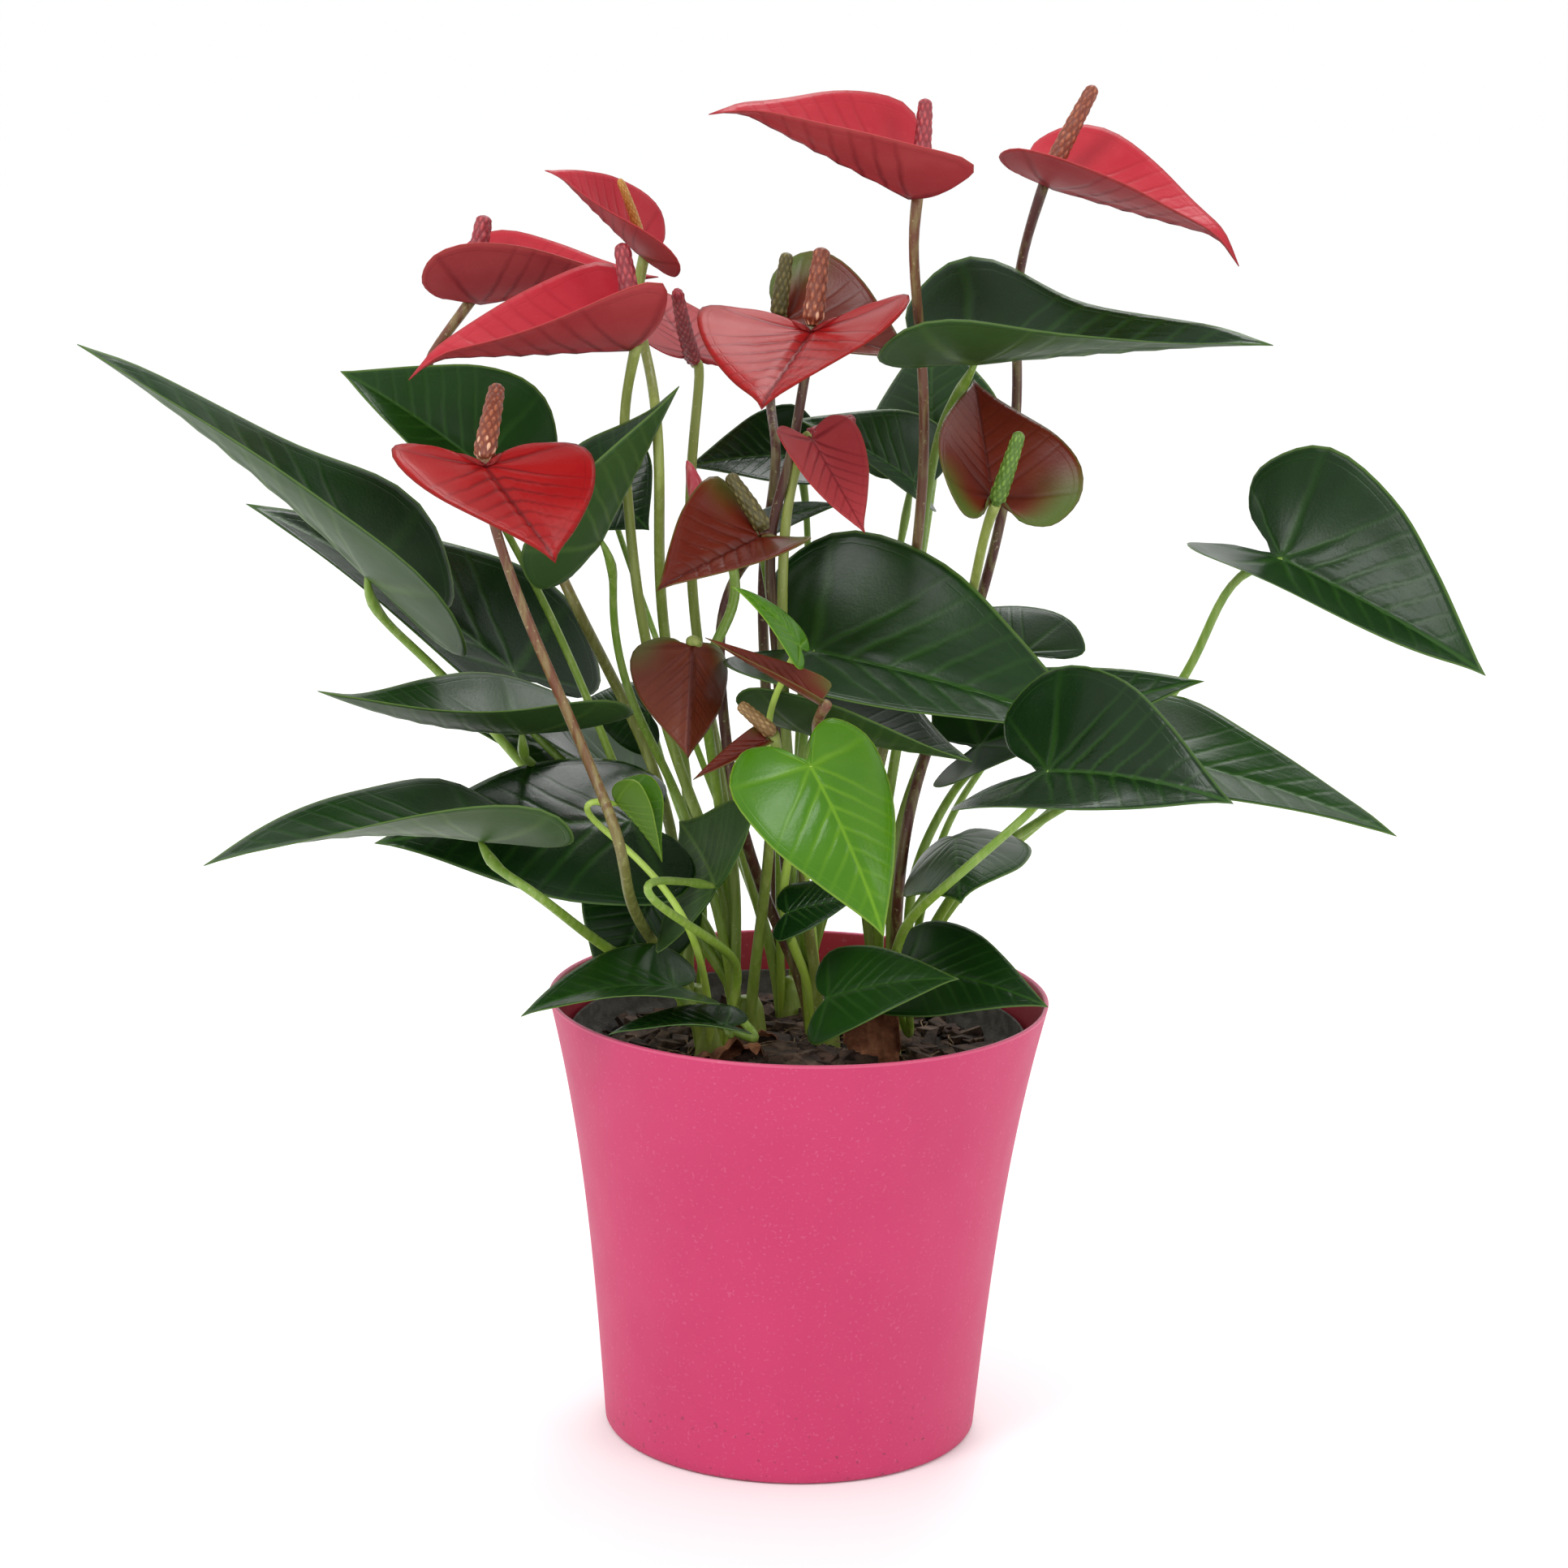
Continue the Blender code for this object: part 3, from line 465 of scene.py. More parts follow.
def add_stem(number, path, radii, material):
    """Rounds one stem's bends and keeps it until its shoot is built."""
    for _ in range(STEM_EASING):
        path[1:-1] += (path[:-2] + path[2:] - 2 * path[1:-1]) / 4
    points = tube_points(path, radii, STEM_SIDES)
    run = np.concatenate([np.repeat(np.linspace(0, 1, len(path)), STEM_SIDES), [0, 1]])
    SHOOT_MESHES[number].append((points, tube_faces(len(path), STEM_SIDES), run, material))


def stem_foot(number, first):
    """Where a stem leaves its shoot's crown, on the side of its first point."""
    centre = np.array([*CROWNS[number], 0.0])
    lean = np.array([first[0], first[1], 0.0]) * MM - centre
    lean /= np.linalg.norm(lean)
    start = centre + lean * SPLIT_FROM_AXIS + np.array([0, 0, SOIL_LEVEL])
    clear = centre + lean * (SPLIT_FROM_AXIS + SPREAD_ABOVE_CROWN)
    return [start, clear + np.array([0, 0, SOIL_LEVEL + CROWN_HEIGHT + STEM_RISE])]


def around(path, share, sides):
    """For each ring point of a tube: its turn, its share of the way up and the path's point."""
    turn = np.tile(np.arange(sides) / sides, len(share))
    return turn, np.repeat(share, sides), np.repeat(path, sides, axis=0)


def shape_of(at, length, width, heading, slope, roll, fold, lobe, arch, slim, **look):
    s = {"at": at, "length": length, "width": width, "heading": heading, "slope": slope,
         "roll": roll, "fold": fold, "lobe": lobe, "arch": arch, "slim": slim}
    s.update({"wave": 0.02 * width, "hook": 0.0, "lobe_lift": 0.0, "relief": 0.35,
              "phase": rng.uniform(0, 6.28)})
    s.update(look)
    return s


def grow_leaf(name, shoot, at, length, width, heading, slope, roll, fold, lobe, petiole,
              arch=2, slim=0.0, young=False, **look):
    s = shape_of(at, length, width, heading, slope, roll, fold, lobe, arch, slim, **look)
    tops = LOOKS["young_top"] if young else LOOKS["leaf_top"][len(LEAVES_MADE) % 3]
    unders = LOOKS["young_under"] if young else LOOKS["leaf_under"]
    LEAVES_MADE.append(name)
    make_blade(name, LEAF_HALF, s, LEAF_THICKNESS, tops, unders)
    _, along, out = blade_axes(heading, slope, roll)
    seat = plant_place([at])[0]
    drop = min(PETIOLE_DROP, PETIOLE_DROP_SHARE * length * MM)
    points = [*stem_foot(shoot, petiole[0] if petiole else at), *plant_place(petiole),
              seat - out * drop - along * PETIOLE_BACK, seat - out * PETIOLE_UNDER + along * PETIOLE_AHEAD]
    path = smooth_path(points, PETIOLE_STATIONS)
    share = np.linspace(0, 1, len(path))
    slender = 0.55 + 0.45 * min(1.0, length / 80)
    radii = STEM_RADIUS * (1 - PETIOLE_TAPER * share) * slender
    radii += KNEE * slender * np.exp(-((share - KNEE_PLACE) / KNEE_LENGTH) ** 2)
    radii[-2:] *= (0.9, 0.6)
    add_stem(shoot, path, radii, "young" if young else "petiole")


def grow_flower(name, shoot, at, length, width, heading, slope, roll, fold, lobe, stalk,
                arch=0, slim=0.0, spadix=None, spadix_radius=0, old=False, kind=None, stalk_kind="stalk",
                spadix_kind="red", **look):
    s = shape_of(at, length, width, heading, slope, roll, fold, lobe, arch, slim, **look)
    top, under = LOOKS[kind or ("old" if old else "coral")]
    make_blade(name, SPATHE_HALF, s, SPATHE_THICKNESS, top, under)
    _, along, out = blade_axes(heading, slope, roll)
    behind = 0.06 * lobe * length * MM + STALK_RADIUS + STALK_GAP
    passing = plant_place([at])[0] - along * behind
    points = [*stem_foot(shoot, stalk[0]), *plant_place(stalk),
              passing - out * STALK_BELOW, passing + out * STALK_ABOVE]
    path = smooth_path(points, STALK_STATIONS)
    share = np.linspace(0, 1, len(path))
    radii = STEM_RADIUS - STALK_TAPER * share + STALK_SWELLING * step(0.93, 1.0, share)
    add_stem(shoot, path, radii, stalk_kind)
    if spadix:
        grow_spadix(name.replace("spathe", "spadix"), path[-1], plant_place([spadix])[0],
                    spadix_radius * MM, out, spadix_kind)


SPADIX_RINGS = 84
SPADIX_SIDES = 52
SPADIX_SPIRALS = 8
BUD_RINGS, BUD_SIDES = 50, 48
BUD_PROFILE = ((0, 0.06, 0.25, 0.45, 0.75, 0.93, 1.0), (0.3, 0.62, 0.95, 1.0, 0.72, 0.34, 0.08))
CROWN_RINGS, CROWN_SIDES = 22, 40


def grow_spadix(name, foot, tip, radius, out, kind):
    """A tapered spike covered in spiral rows of tiny flowers."""
    length = np.linalg.norm(tip - foot)
    share = np.linspace(0, 1, SPADIX_RINGS)
    bend = out * 0.02 * length
    path = foot + np.outer(share, tip - foot) + np.outer(np.sin(math.pi * share), bend)
    swell = 0.55 + 0.45 * step(0.0, 0.10, share)
    taper = 1 - 0.30 * share ** 1.6
    dome = np.sqrt(np.clip(1 - np.clip((share - 0.93) / 0.07, 0, 1) ** 2, 0.015, 1))
    radii = radius * 0.93 * swell * taper * dome
    points = tube_points(path, radii, SPADIX_SIDES)
    turn, level, centres = around(path, share, SPADIX_SIDES)
    rows = length / (2 * math.pi * radius / SPADIX_SPIRALS)
    one = SPADIX_SPIRALS * turn + rows * level * 0.5
    two = SPADIX_SPIRALS * turn - rows * level * 0.5
    knob = (0.5 + 0.5 * np.cos(2 * math.pi * one)) * (0.5 + 0.5 * np.cos(2 * math.pi * two))
    knob = np.sqrt(knob)
    lift = 1 + (knob - 0.4) * 0.16 * (1 - 0.6 * step(0.94, 1.0, level))
    points[:-2] = centres + (points[:-2] - centres) * lift[:, None]
    lowest = (1 - step(0.10, 0.42, level)) * (0.5 + 0.5 * np.cos(2 * math.pi * (one * 0.5 + two * 0.31)))
    values = np.vstack([np.stack([knob, level, knob * lowest], 1), [(0, 0, 0), (0, 1, 0)]])
    piece = add_piece(name, points, tube_faces(SPADIX_RINGS, SPADIX_SIDES),
                      [LOOKS["spadix"][kind]], ())
    note(piece, "knob", values)


def grow_bud(name, shoot, at, tip, radius, stalk):
    """A spathe still rolled round its spadix: a pointed spindle with one spiral edge."""
    base, end = plant_place([at, tip])
    share = np.linspace(0, 1, BUD_RINGS)
    profile = np.interp(share, *BUD_PROFILE)
    upward = (end - base) / np.linalg.norm(end - base)
    sway = np.cross(upward, (0, 1, 0)) * 0.0012
    path = base + np.outer(share, end - base) + np.outer(np.sin(math.pi * share * 1.3), sway)
    points = tube_points(path, radius * MM * 0.95 * profile, BUD_SIDES)
    turn, level, centres = around(path, share, BUD_SIDES)
    seam = (turn - 0.55 * level) % 1.0
    points[:-2] = centres + (points[:-2] - centres) * (0.90 + 0.14 * seam)[:, None]
    piece = add_piece(name, points, tube_faces(BUD_RINGS, BUD_SIDES), [LOOKS["bud"]], (name,))
    note(piece, "run", np.vstack([np.stack([level, seam, level], 1), [(0, 0, 0), (1, 0, 0)]]))
    points = [*stem_foot(shoot, stalk[0]), *plant_place(stalk), base + upward * 0.0006]
    path = smooth_path(points, 50)
    add_stem(shoot, path, np.linspace(0.0018, 0.0016, 50), "petiole")


def make_shoots():
    """Each shoot's crown and all of its stems as one piece."""
    names = list(LOOKS["stem"])
    for number, (across, deep) in CROWNS.items():
        points, faces, runs, indices = [], [], [], []
        start = 0
        for corners, tube, run, kind in SHOOT_MESHES[number]:
            points.append(corners)
            faces += [tuple(corner + start for corner in face) for face in tube]
            runs.append(run)
            indices += [names.index(kind)] * len(tube)
            start += len(corners)
        levels = np.linspace(-0.006, CROWN_HEIGHT + 0.001, CROWN_RINGS)
        share = np.linspace(0, 1, CROWN_RINGS)
        girth = 0.0080 - 0.0042 * share ** 0.8 - 0.0010 * step(0.85, 1.0, share)
        path = np.stack([np.full(CROWN_RINGS, across), np.full(CROWN_RINGS, deep), SOIL_LEVEL + levels], 1)
        corners = tube_points(path, girth, CROWN_SIDES)
        turn, high, centres = around(path, share, CROWN_SIDES)
        ridge = 1 + 0.10 * np.cos(2 * math.pi * 5 * turn + number + 2.0 * high) * (0.4 + 0.6 * high)
        corners[:-2] = centres + (corners[:-2] - centres) * ridge[:, None]
        points.append(corners)
        crown = tube_faces(CROWN_RINGS, CROWN_SIDES)
        faces += [tuple(corner + start for corner in face) for face in crown]
        runs.append(np.concatenate([high, [0, 1]]))
        indices += [names.index("crown")] * len(crown)
        runs = np.concatenate(runs)
        piece = add_piece(f"shoot_{number}_stems", np.vstack(points), faces,
                          [LOOKS["stem"][name] for name in names], (f"shoot_{number}",), indices)
        note(piece, "run", np.stack([runs, runs, runs], 1))


# Pots and potting mix

def turned(profile, sides):
    """An open profile of (radius, height), from the foot up the outside, turned round Z."""
    rows = []
    angles = 2 * math.pi * np.arange(sides) / sides
    for radius, height in profile:
        rows.append(np.stack([radius * np.cos(angles), radius * np.sin(angles), np.full(sides, height)], 1))
    faces = []
    for row in range(len(profile) - 1):
        for side in range(sides):
            beside = (side + 1) % sides
            low, high = row * sides, (row + 1) * sides
            faces.append((low + side, low + beside, high + beside, high + side))
    faces.append(tuple(range(sides))[::-1])
    last = (len(profile) - 1) * sides
    faces.append(tuple(last + side for side in range(sides)))
    return np.vstack(rows), faces


NURSERY_WALL = 0.001
NURSERY_FLOOR = 0.0012
NURSERY_CLEARANCE = 0.007
NURSERY_LIP_DEPTH = 0.008
NURSERY_LIP_STEP = 0.0025
POT_CENTRE = 0.012
POT_SIDES = 160


def cover_radius(height):
    share = height / COVER_HEIGHT
    flare = 0.6 * share + 0.4 * share ** 3
    return BASE_RADIUS + (RIM_RADIUS - BASE_RADIUS) * flare


def make_cover_pot():
    levels = np.linspace(0.0012, COVER_HEIGHT - 0.0009, 44)
    outside = [(POT_CENTRE, 0.0), (BASE_RADIUS - 0.0016, 0.0), (BASE_RADIUS - 0.0004, 0.0004)]
    outside += [(cover_radius(level), level) for level in levels]
    lip = cover_radius(COVER_HEIGHT)
    rim = [(lip - 0.00012, COVER_HEIGHT - 0.0003), (lip - 0.0005, COVER_HEIGHT),
           (lip - 0.0011, COVER_HEIGHT), (lip - 0.0015, COVER_HEIGHT - 0.0004)]
    inside = [(cover_radius(level) - COVER_WALL, max(level, COVER_FLOOR)) for level in levels[::-1]]
    inside += [(POT_CENTRE, COVER_FLOOR)]
    profile = outside + rim + inside
    points, faces = turned(profile, POT_SIDES)
    edge_from = len(outside) - 1
    inner_from = len(outside) + len(rim) - 1
    indices = []
    for row in range(len(profile) - 1):
        kind = 0 if row < edge_from else (1 if row < inner_from else 2)
        indices += [kind] * POT_SIDES
    indices += [0, 2]
    # The outside, the rim with its painted highlight and the inside with its painted shade take three
    # copies of the pot material.
    add_piece("cover_pot_shell", points, faces, [LOOKS["pot"], LOOKS["pot_edge"], LOOKS["pot_inside"]],
              ("cover_pot",), indices)


def make_nursery_pot():
    foot, top = NURSERY_LOW[2], NURSERY_HIGH[2]
    lip = NURSERY_HIGH[0]
    wall, depth = NURSERY_WALL, NURSERY_LIP_DEPTH
    base = cover_radius(foot) - COVER_WALL - NURSERY_CLEARANCE
    neck = lip - NURSERY_LIP_STEP
    profile = [(0.01, foot), (base - 0.001, foot), (base, foot + 0.001), (neck, top - depth - 0.0006),
               (neck + 0.0004, top - depth), (lip - 0.0005, top - depth), (lip, top - depth + 0.0005),
               (lip, top - 0.0005), (lip - 0.0003, top), (lip - 0.0008, top), (lip - wall, top - 0.0004),
               (lip - wall, top - depth + wall), (neck - wall, top - depth),
               (base - wall, foot + NURSERY_FLOOR), (0.01, foot + NURSERY_FLOOR)]
    points, faces = turned(profile, 120)
    add_piece("nursery_pot_shell", points, faces, [LOOKS["nursery"]], ("nursery_pot",))


def mound(share):
    """Height of the potting mix at a share of its radius."""
    return SOIL_LEVEL + SOIL_MOUND * (1 - share ** 2)


def make_potting_mix():
    sides, rings = 150, 46
    angles = 2 * math.pi * np.arange(sides) / sides
    rows = []
    for share in np.linspace(1, 0.01, rings):
        radius = (MIX_RADIUS - 0.001) * share
        x, y = radius * np.cos(angles), radius * np.sin(angles)
        lump = 0.0011 * np.sin(x * 410 + 1.3) * np.sin(y * 370 + 0.4) + 0.0008 * np.sin(x * 930 + y * 610)
        lump += 0.0006 * np.sin(x * 1900 - y * 1500) * np.sin(y * 2100 + 2)
        height = mound(share) - BED_DROP + lump * min(1, (1 - share) * 12 + 0.3)
        rows.append(np.stack([x, y, np.minimum(height, MIX_HIGH[2] - 0.0004)], 1))
    rows.insert(0, np.stack([MIX_FOOT_RADIUS * np.cos(angles), MIX_FOOT_RADIUS * np.sin(angles),
                             np.full(sides, MIX_LOW[2])], 1))
    faces = []
    for row in range(rings):
        for side in range(sides):
            beside = (side + 1) % sides
            a, b = row * sides, (row + 1) * sides
            faces.append((a + side, a + beside, b + beside, b + side))
    faces.append(tuple(range(sides))[::-1])
    faces.append(tuple(rings * sides + side for side in range(sides)))
    add_piece("potting_mix_bed", np.vstack(rows), faces, [LOOKS["soil"]], ("potting_mix",))


CHIP_TO_CROWN = 0.0085
CHIP_TO_WALL = 0.006
FIBRE_TO_WALL = 0.010
CHIP_WEAR = 0.00035


def scatter_chips(name, count, sizes, material, lift):
    """Loose bits of bark lying on the potting mix, clear of the crowns."""
    points, faces = [], []
    box = np.array([(x, y, z) for x in (-1, 1) for y in (-1, 1) for z in (-1, 1)], float)
    sides = [(0, 1, 3, 2), (4, 6, 7, 5), (0, 4, 5, 1), (2, 3, 7, 6), (0, 2, 6, 4), (1, 5, 7, 3)]
    made = 0
    while made < count:
        radius = (MIX_RADIUS - CHIP_TO_WALL) * math.sqrt(rng.random())
        angle = rng.uniform(0, 2 * math.pi)
        x, y = radius * math.cos(angle), radius * math.sin(angle)
        if min(math.hypot(x - cx, y - cy) for cx, cy in CROWNS.values()) < CHIP_TO_CROWN:
            continue
        long, wide, thick = rng.uniform(*sizes), rng.uniform(0.25, 0.7), rng.uniform(0.12, 0.4)
        size = np.array([long, long * wide, long * thick]) / 2
        corners = box * size * (1 + rng.uniform(-0.35, 0.35, (8, 3)))
        turn = rng.uniform(0, 2 * math.pi)
        tilt = rng.uniform(-0.45, 0.45)
        spin = np.array(Matrix.Rotation(turn, 3, "Z") @ Matrix.Rotation(tilt, 3, "Y"))
        centre = np.array([x, y, mound(radius / MIX_RADIUS) - BED_DROP + lift + size[2] * 0.3])
        start = 8 * made
        points.append(corners @ spin.T + centre)
        faces += [tuple(start + corner for corner in side) for side in sides]
        made += 1
    piece = add_piece(name, np.vstack(points), faces, [material], (), smooth=False)
    bevel = piece.modifiers.new("worn_edges", "BEVEL")
    bevel.width = CHIP_WEAR
    bevel.segments = 2


def scatter_fibres(count):
    """Fine loose fibres on the potting mix."""
    points, faces, start = [], [], 0
    for _ in range(count):
        radius = (MIX_RADIUS - FIBRE_TO_WALL) * math.sqrt(rng.random())
        angle = rng.uniform(0, 2 * math.pi)
        centre = np.array([radius * math.cos(angle), radius * math.sin(angle), 0])
        dome = mound(radius / MIX_RADIUS)
        ahead = rng.uniform(0, 2 * math.pi)
        long = rng.uniform(0.006, 0.014)
        route = []
        for share in np.linspace(-0.5, 0.5, 4):
            shift = np.array([math.cos(ahead), math.sin(ahead), 0]) * long * share
            stray = rng.uniform(-0.001, 0.001, 2)
            route.append(centre + shift + np.append(stray, dome + rng.uniform(-0.0005, 0.0015)))
        path = smooth_path(route, 10)
        corners = tube_points(path, np.full(10, rng.uniform(0.00015, 0.0003)), 6)
        points.append(corners)
        faces += [tuple(corner + start for corner in face) for face in tube_faces(10, 6)]
        start += len(corners)
    add_piece("mix_fibres", np.vstack(points), faces, [LOOKS["fibre"]], ())


BRACT_GRID = (26, 18)
BRACT_RADIUS = 0.0096
BRACT_DROOP = 0.605
BRACT_THICKNESS = 0.0003


def make_bract(name, number, turn, height, reach, width, curl):
    """A dry papery sheath half round a crown, its free edge curled outwards."""
    cx, cy = CROWNS[number]
    columns, rows = BRACT_GRID
    points = []
    for row in range(rows):
        level = row / (rows - 1)
        for column in range(columns):
            side = column / (columns - 1) - 0.5
            ragged = 0.10 * math.sin(17 * side + number) + 0.06 * math.sin(41 * side + 2)
            lift = level * (1 - BRACT_DROOP * (2 * side) ** 2 + ragged)
            angle = turn + side * width * (1 - 0.35 * level)
            out = BRACT_RADIUS + reach * level ** 2 + 0.0006 * math.sin(29 * side + 7 * level)
            bow = curl * level ** 3
            points.append((cx + out * math.cos(angle), cy + out * math.sin(angle),
                           SOIL_LEVEL + 0.001 + height * lift - bow))
    faces = []
    for row in range(rows - 1):
        for column in range(columns - 1):
            a = row * columns + column
            faces.append((a, a + 1, a + 1 + columns, a + columns))
    piece = add_piece(name, points, faces, [LOOKS["bract"]], ())
    paper = piece.modifiers.new("paper", "SOLIDIFY")
    paper.thickness = BRACT_THICKNESS


# Materials

LEAVES_MADE = []
GREEN_VEIN = (0.026, 0.085, 0.010)
LOOKS = {
    "leaf_top": [
        blade_look("leaf_green", (0.0050, 0.026, 0.0030), (0.010, 0.050, 0.004), GREEN_VEIN,
                   (0.09, 0.17, 0.03)),
        blade_look("leaf_green_deep", (0.0035, 0.019, 0.0028), (0.007, 0.037, 0.004), GREEN_VEIN,
                   (0.07, 0.14, 0.03), roughness=0.26),
        blade_look("leaf_green_mid", (0.0070, 0.035, 0.0030), (0.014, 0.066, 0.005), GREEN_VEIN,
                   (0.10, 0.18, 0.03)),
    ],
    "leaf_under": blade_look("leaf_underside", (0.024, 0.062, 0.012), (0.042, 0.090, 0.020),
                             (0.08, 0.15, 0.03), (0.10, 0.17, 0.04), roughness=0.45, coat=0.03),
    "young_top": blade_look("leaf_young", (0.045, 0.150, 0.002), (0.085, 0.22, 0.004),
                            (0.13, 0.28, 0.010), (0.20, 0.34, 0.03), roughness=0.26),
    "young_under": blade_look("leaf_young_underside", (0.08, 0.17, 0.012), (0.12, 0.22, 0.02),
                              (0.18, 0.30, 0.04), (0.22, 0.32, 0.05), roughness=0.42),
    "coral": (
        blade_look("spathe_coral", (0.42, 0.022, 0.036), (0.54, 0.060, 0.075), (0.24, 0.006, 0.012),
                   (0.40, 0.045, 0.050), roughness=0.34, keel_share=0.5, coat=0.1, shine=0.12),
        blade_look("spathe_coral_underside", (0.32, 0.034, 0.040), (0.42, 0.070, 0.072),
                   (0.15, 0.010, 0.014), (0.28, 0.045, 0.035), roughness=0.45, vein_share=0.75,
                   keel_share=0.7, coat=0.02, shine=0.10),
    ),
    "red": (
        blade_look("spathe_red", (0.28, 0.005, 0.006), (0.38, 0.014, 0.014), (0.12, 0.003, 0.004),
                   (0.20, 0.018, 0.012), vein_share=0.8, coat=0.06, shine=0.09),
        blade_look("spathe_red_underside", (0.22, 0.014, 0.014), (0.29, 0.035, 0.03),
                   (0.11, 0.006, 0.008), (0.24, 0.05, 0.03), roughness=0.45, vein_share=0.7, coat=0.02,
                   shine=0.10),
    ),
    "old": (
        blade_look("spathe_old", (0.11, 0.012, 0.005), (0.17, 0.030, 0.010), (0.06, 0.007, 0.004),
                   (0.10, 0.08, 0.015), vein_share=0.4, lobe_colour=(0.07, 0.13, 0.02)),
        blade_look("spathe_old_underside", (0.12, 0.020, 0.008), (0.18, 0.042, 0.014),
                   (0.07, 0.010, 0.006), (0.11, 0.08, 0.02), roughness=0.4, vein_share=0.45,
                   lobe_colour=(0.09, 0.12, 0.03)),
    ),
    "stem": {
        "petiole": stem_look("petiole_green", (0.26, 0.36, 0.035), (0.20, 0.33, 0.030),
                             (0.16, 0.28, 0.030)),
        "young": stem_look("petiole_young", (0.30, 0.42, 0.05), (0.34, 0.50, 0.06), (0.40, 0.58, 0.09)),
        "stalk": stem_look("stalk_green_to_brown", (0.20, 0.29, 0.04), (0.15, 0.15, 0.035),
                           (0.15, 0.05, 0.022), change=(0.35, 0.7)),
        "dark": stem_look("stalk_dark", (0.14, 0.12, 0.03), (0.085, 0.022, 0.014),
                          (0.075, 0.018, 0.014), change=(0.2, 0.5)),
        "pale": stem_look("stalk_green", (0.20, 0.31, 0.04), (0.20, 0.30, 0.04), (0.25, 0.30, 0.06)),
        "crown": stem_look("crown_sheaths", (0.22, 0.15, 0.05), (0.26, 0.30, 0.06), (0.22, 0.31, 0.04)),
    },
    "spadix": {
        "red": spadix_look("spadix_red", (0.22, 0.020, 0.030), (0.48, 0.07, 0.08)),
        "brown": spadix_look("spadix_brown", (0.17, 0.035, 0.015), (0.42, 0.13, 0.055),
                             (0.72, 0.42, 0.26)),
        "olive": spadix_look("spadix_olive", (0.07, 0.06, 0.015), (0.17, 0.14, 0.035)),
        "green": spadix_look("spadix_green", (0.08, 0.16, 0.02), (0.20, 0.34, 0.05)),
        "yellow": spadix_look("spadix_yellow", (0.42, 0.20, 0.04), (0.66, 0.40, 0.12)),
        "tan": spadix_look("spadix_tan", (0.22, 0.12, 0.04), (0.45, 0.29, 0.12)),
    },
}


def bud_look():
    look = Look("bud_pink", 0.3)
    run, seam, _ = look.attribute("run")
    streak = look.ramp(look.noise(0.002, 3.0, (1, 1, 0.2)), 0.4, 0.7)
    colour = look.mix(streak, (0.60, 0.06, 0.09), (0.80, 0.24, 0.24))
    colour = look.mix(look.ramp(run, 0.15, 0.0), colour, (0.45, 0.35, 0.08))
    colour = look.mix(look.ramp(seam, 0.93, 1.0), colour, (0.45, 0.03, 0.05))
    return look.finish(colour, streak, 0.25, 0.0004)


def pot_look(name, base, shade, roughness, scuff):
    look = Look(name, roughness)
    cloud = look.ramp(look.noise(0.05, 3.0), 0.35, 0.65)
    colour = look.tint(base, cloud, 0.5, shade)
    fine = look.ramp(look.noise(0.0011, 2.0), 0.60, 0.72)
    colour = look.tint(colour, fine, 0.10, (0.85, 0.35, 0.50))
    scratch = look.ramp(look.noise(0.004, 6.0, (1, 1, 7)), 0.66, 0.74)
    colour = look.tint(colour, scratch, scuff, (0.86, 0.45, 0.58))
    height = look.node("ShaderNodeSeparateXYZ")
    look.join(look.place(), height.inputs[0])
    low = look.ramp(height.outputs[2], 0.05, 0.0)
    dirt = look.times(look.ramp(look.noise(0.0018, 1.0), 0.70, 0.73), look.ramp(low, 0.2, 1.0, 0.1, 1.0))
    colour = look.tint(colour, dirt, 0.6, (0.12, 0.02, 0.03))
    rough = look.plus(roughness, look.times(look.noise(0.012), 0.14))
    return look.finish(colour, look.noise(0.0012, 3.0), 0.08, 0.0002, rough)


def soil_look(name, dark, light, size):
    look = Look(name, 0.92)
    shade = look.ramp(look.noise(size, 6.0), 0.35, 0.68)
    colour = look.mix(shade, dark, light)
    grain = look.noise(size * 0.25, 4.0, (1, 1, 3))
    colour = look.tint(colour, look.ramp(grain, 0.55, 0.75), 0.35, (0.11, 0.065, 0.04))
    return look.finish(colour, grain, 0.7, 0.0006)


LOOKS["bud"] = bud_look()
LOOKS["pot"] = pot_look("pot_pink", (0.50, 0.022, 0.110), (0.46, 0.018, 0.098), 0.48, 0.05)
# The rim is the pot's own plastic with more scuffs, painted lighter as a painted highlight.
LOOKS["pot_edge"] = pot_look("pot_edge_pink", (0.56, 0.065, 0.155), (0.52, 0.05, 0.13), 0.34, 0.15)
# The inside wall is the pot's own plastic painted darker: painted shade inside the pot.
LOOKS["pot_inside"] = pot_look("pot_inside_pink", (0.36, 0.008, 0.028), (0.30, 0.006, 0.022), 0.42, 0.05)
LOOKS["nursery"] = soil_look("nursery_grey", (0.055, 0.050, 0.046), (0.11, 0.10, 0.092), 0.004)
LOOKS["soil"] = soil_look("mix_dark", (0.006, 0.004, 0.003), (0.026, 0.015, 0.009), 0.003)
LOOKS["bark"] = soil_look("bark_brown", (0.018, 0.009, 0.005), (0.075, 0.038, 0.024), 0.004)
LOOKS["bark_pale"] = soil_look("bark_grey", (0.035, 0.020, 0.013), (0.13, 0.080, 0.055), 0.004)
LOOKS["fibre"] = soil_look("fibre_tan", (0.16, 0.10, 0.05), (0.34, 0.23, 0.13), 0.002)
LOOKS["bract"] = soil_look("bract_brown", (0.17, 0.055, 0.022), (0.42, 0.18, 0.085), 0.006)


# Studio

FLOOR_LEVEL = -0.0002
FLOOR_SIDE, FLOOR_FRONT, FLOOR_BACK = 30, -6, 60
LIGHT_TARGET = (0, 0, 0.25)
SKY_STRENGTH = 1.05
CAMERA_PLACE = (0.0, -1.294, 0.509)
CAMERA_PITCH, CAMERA_YAW, CAMERA_ROLL = 0.2258, -0.0048, 0.0219
CAMERA_LENS, CAMERA_SENSOR = 96.35, 36.0


def aim(thing, target):
    toward = np.array(target, float) - np.array(thing.location)
    thing.rotation_euler = Vector(toward).to_track_quat("-Z", "Y").to_euler()


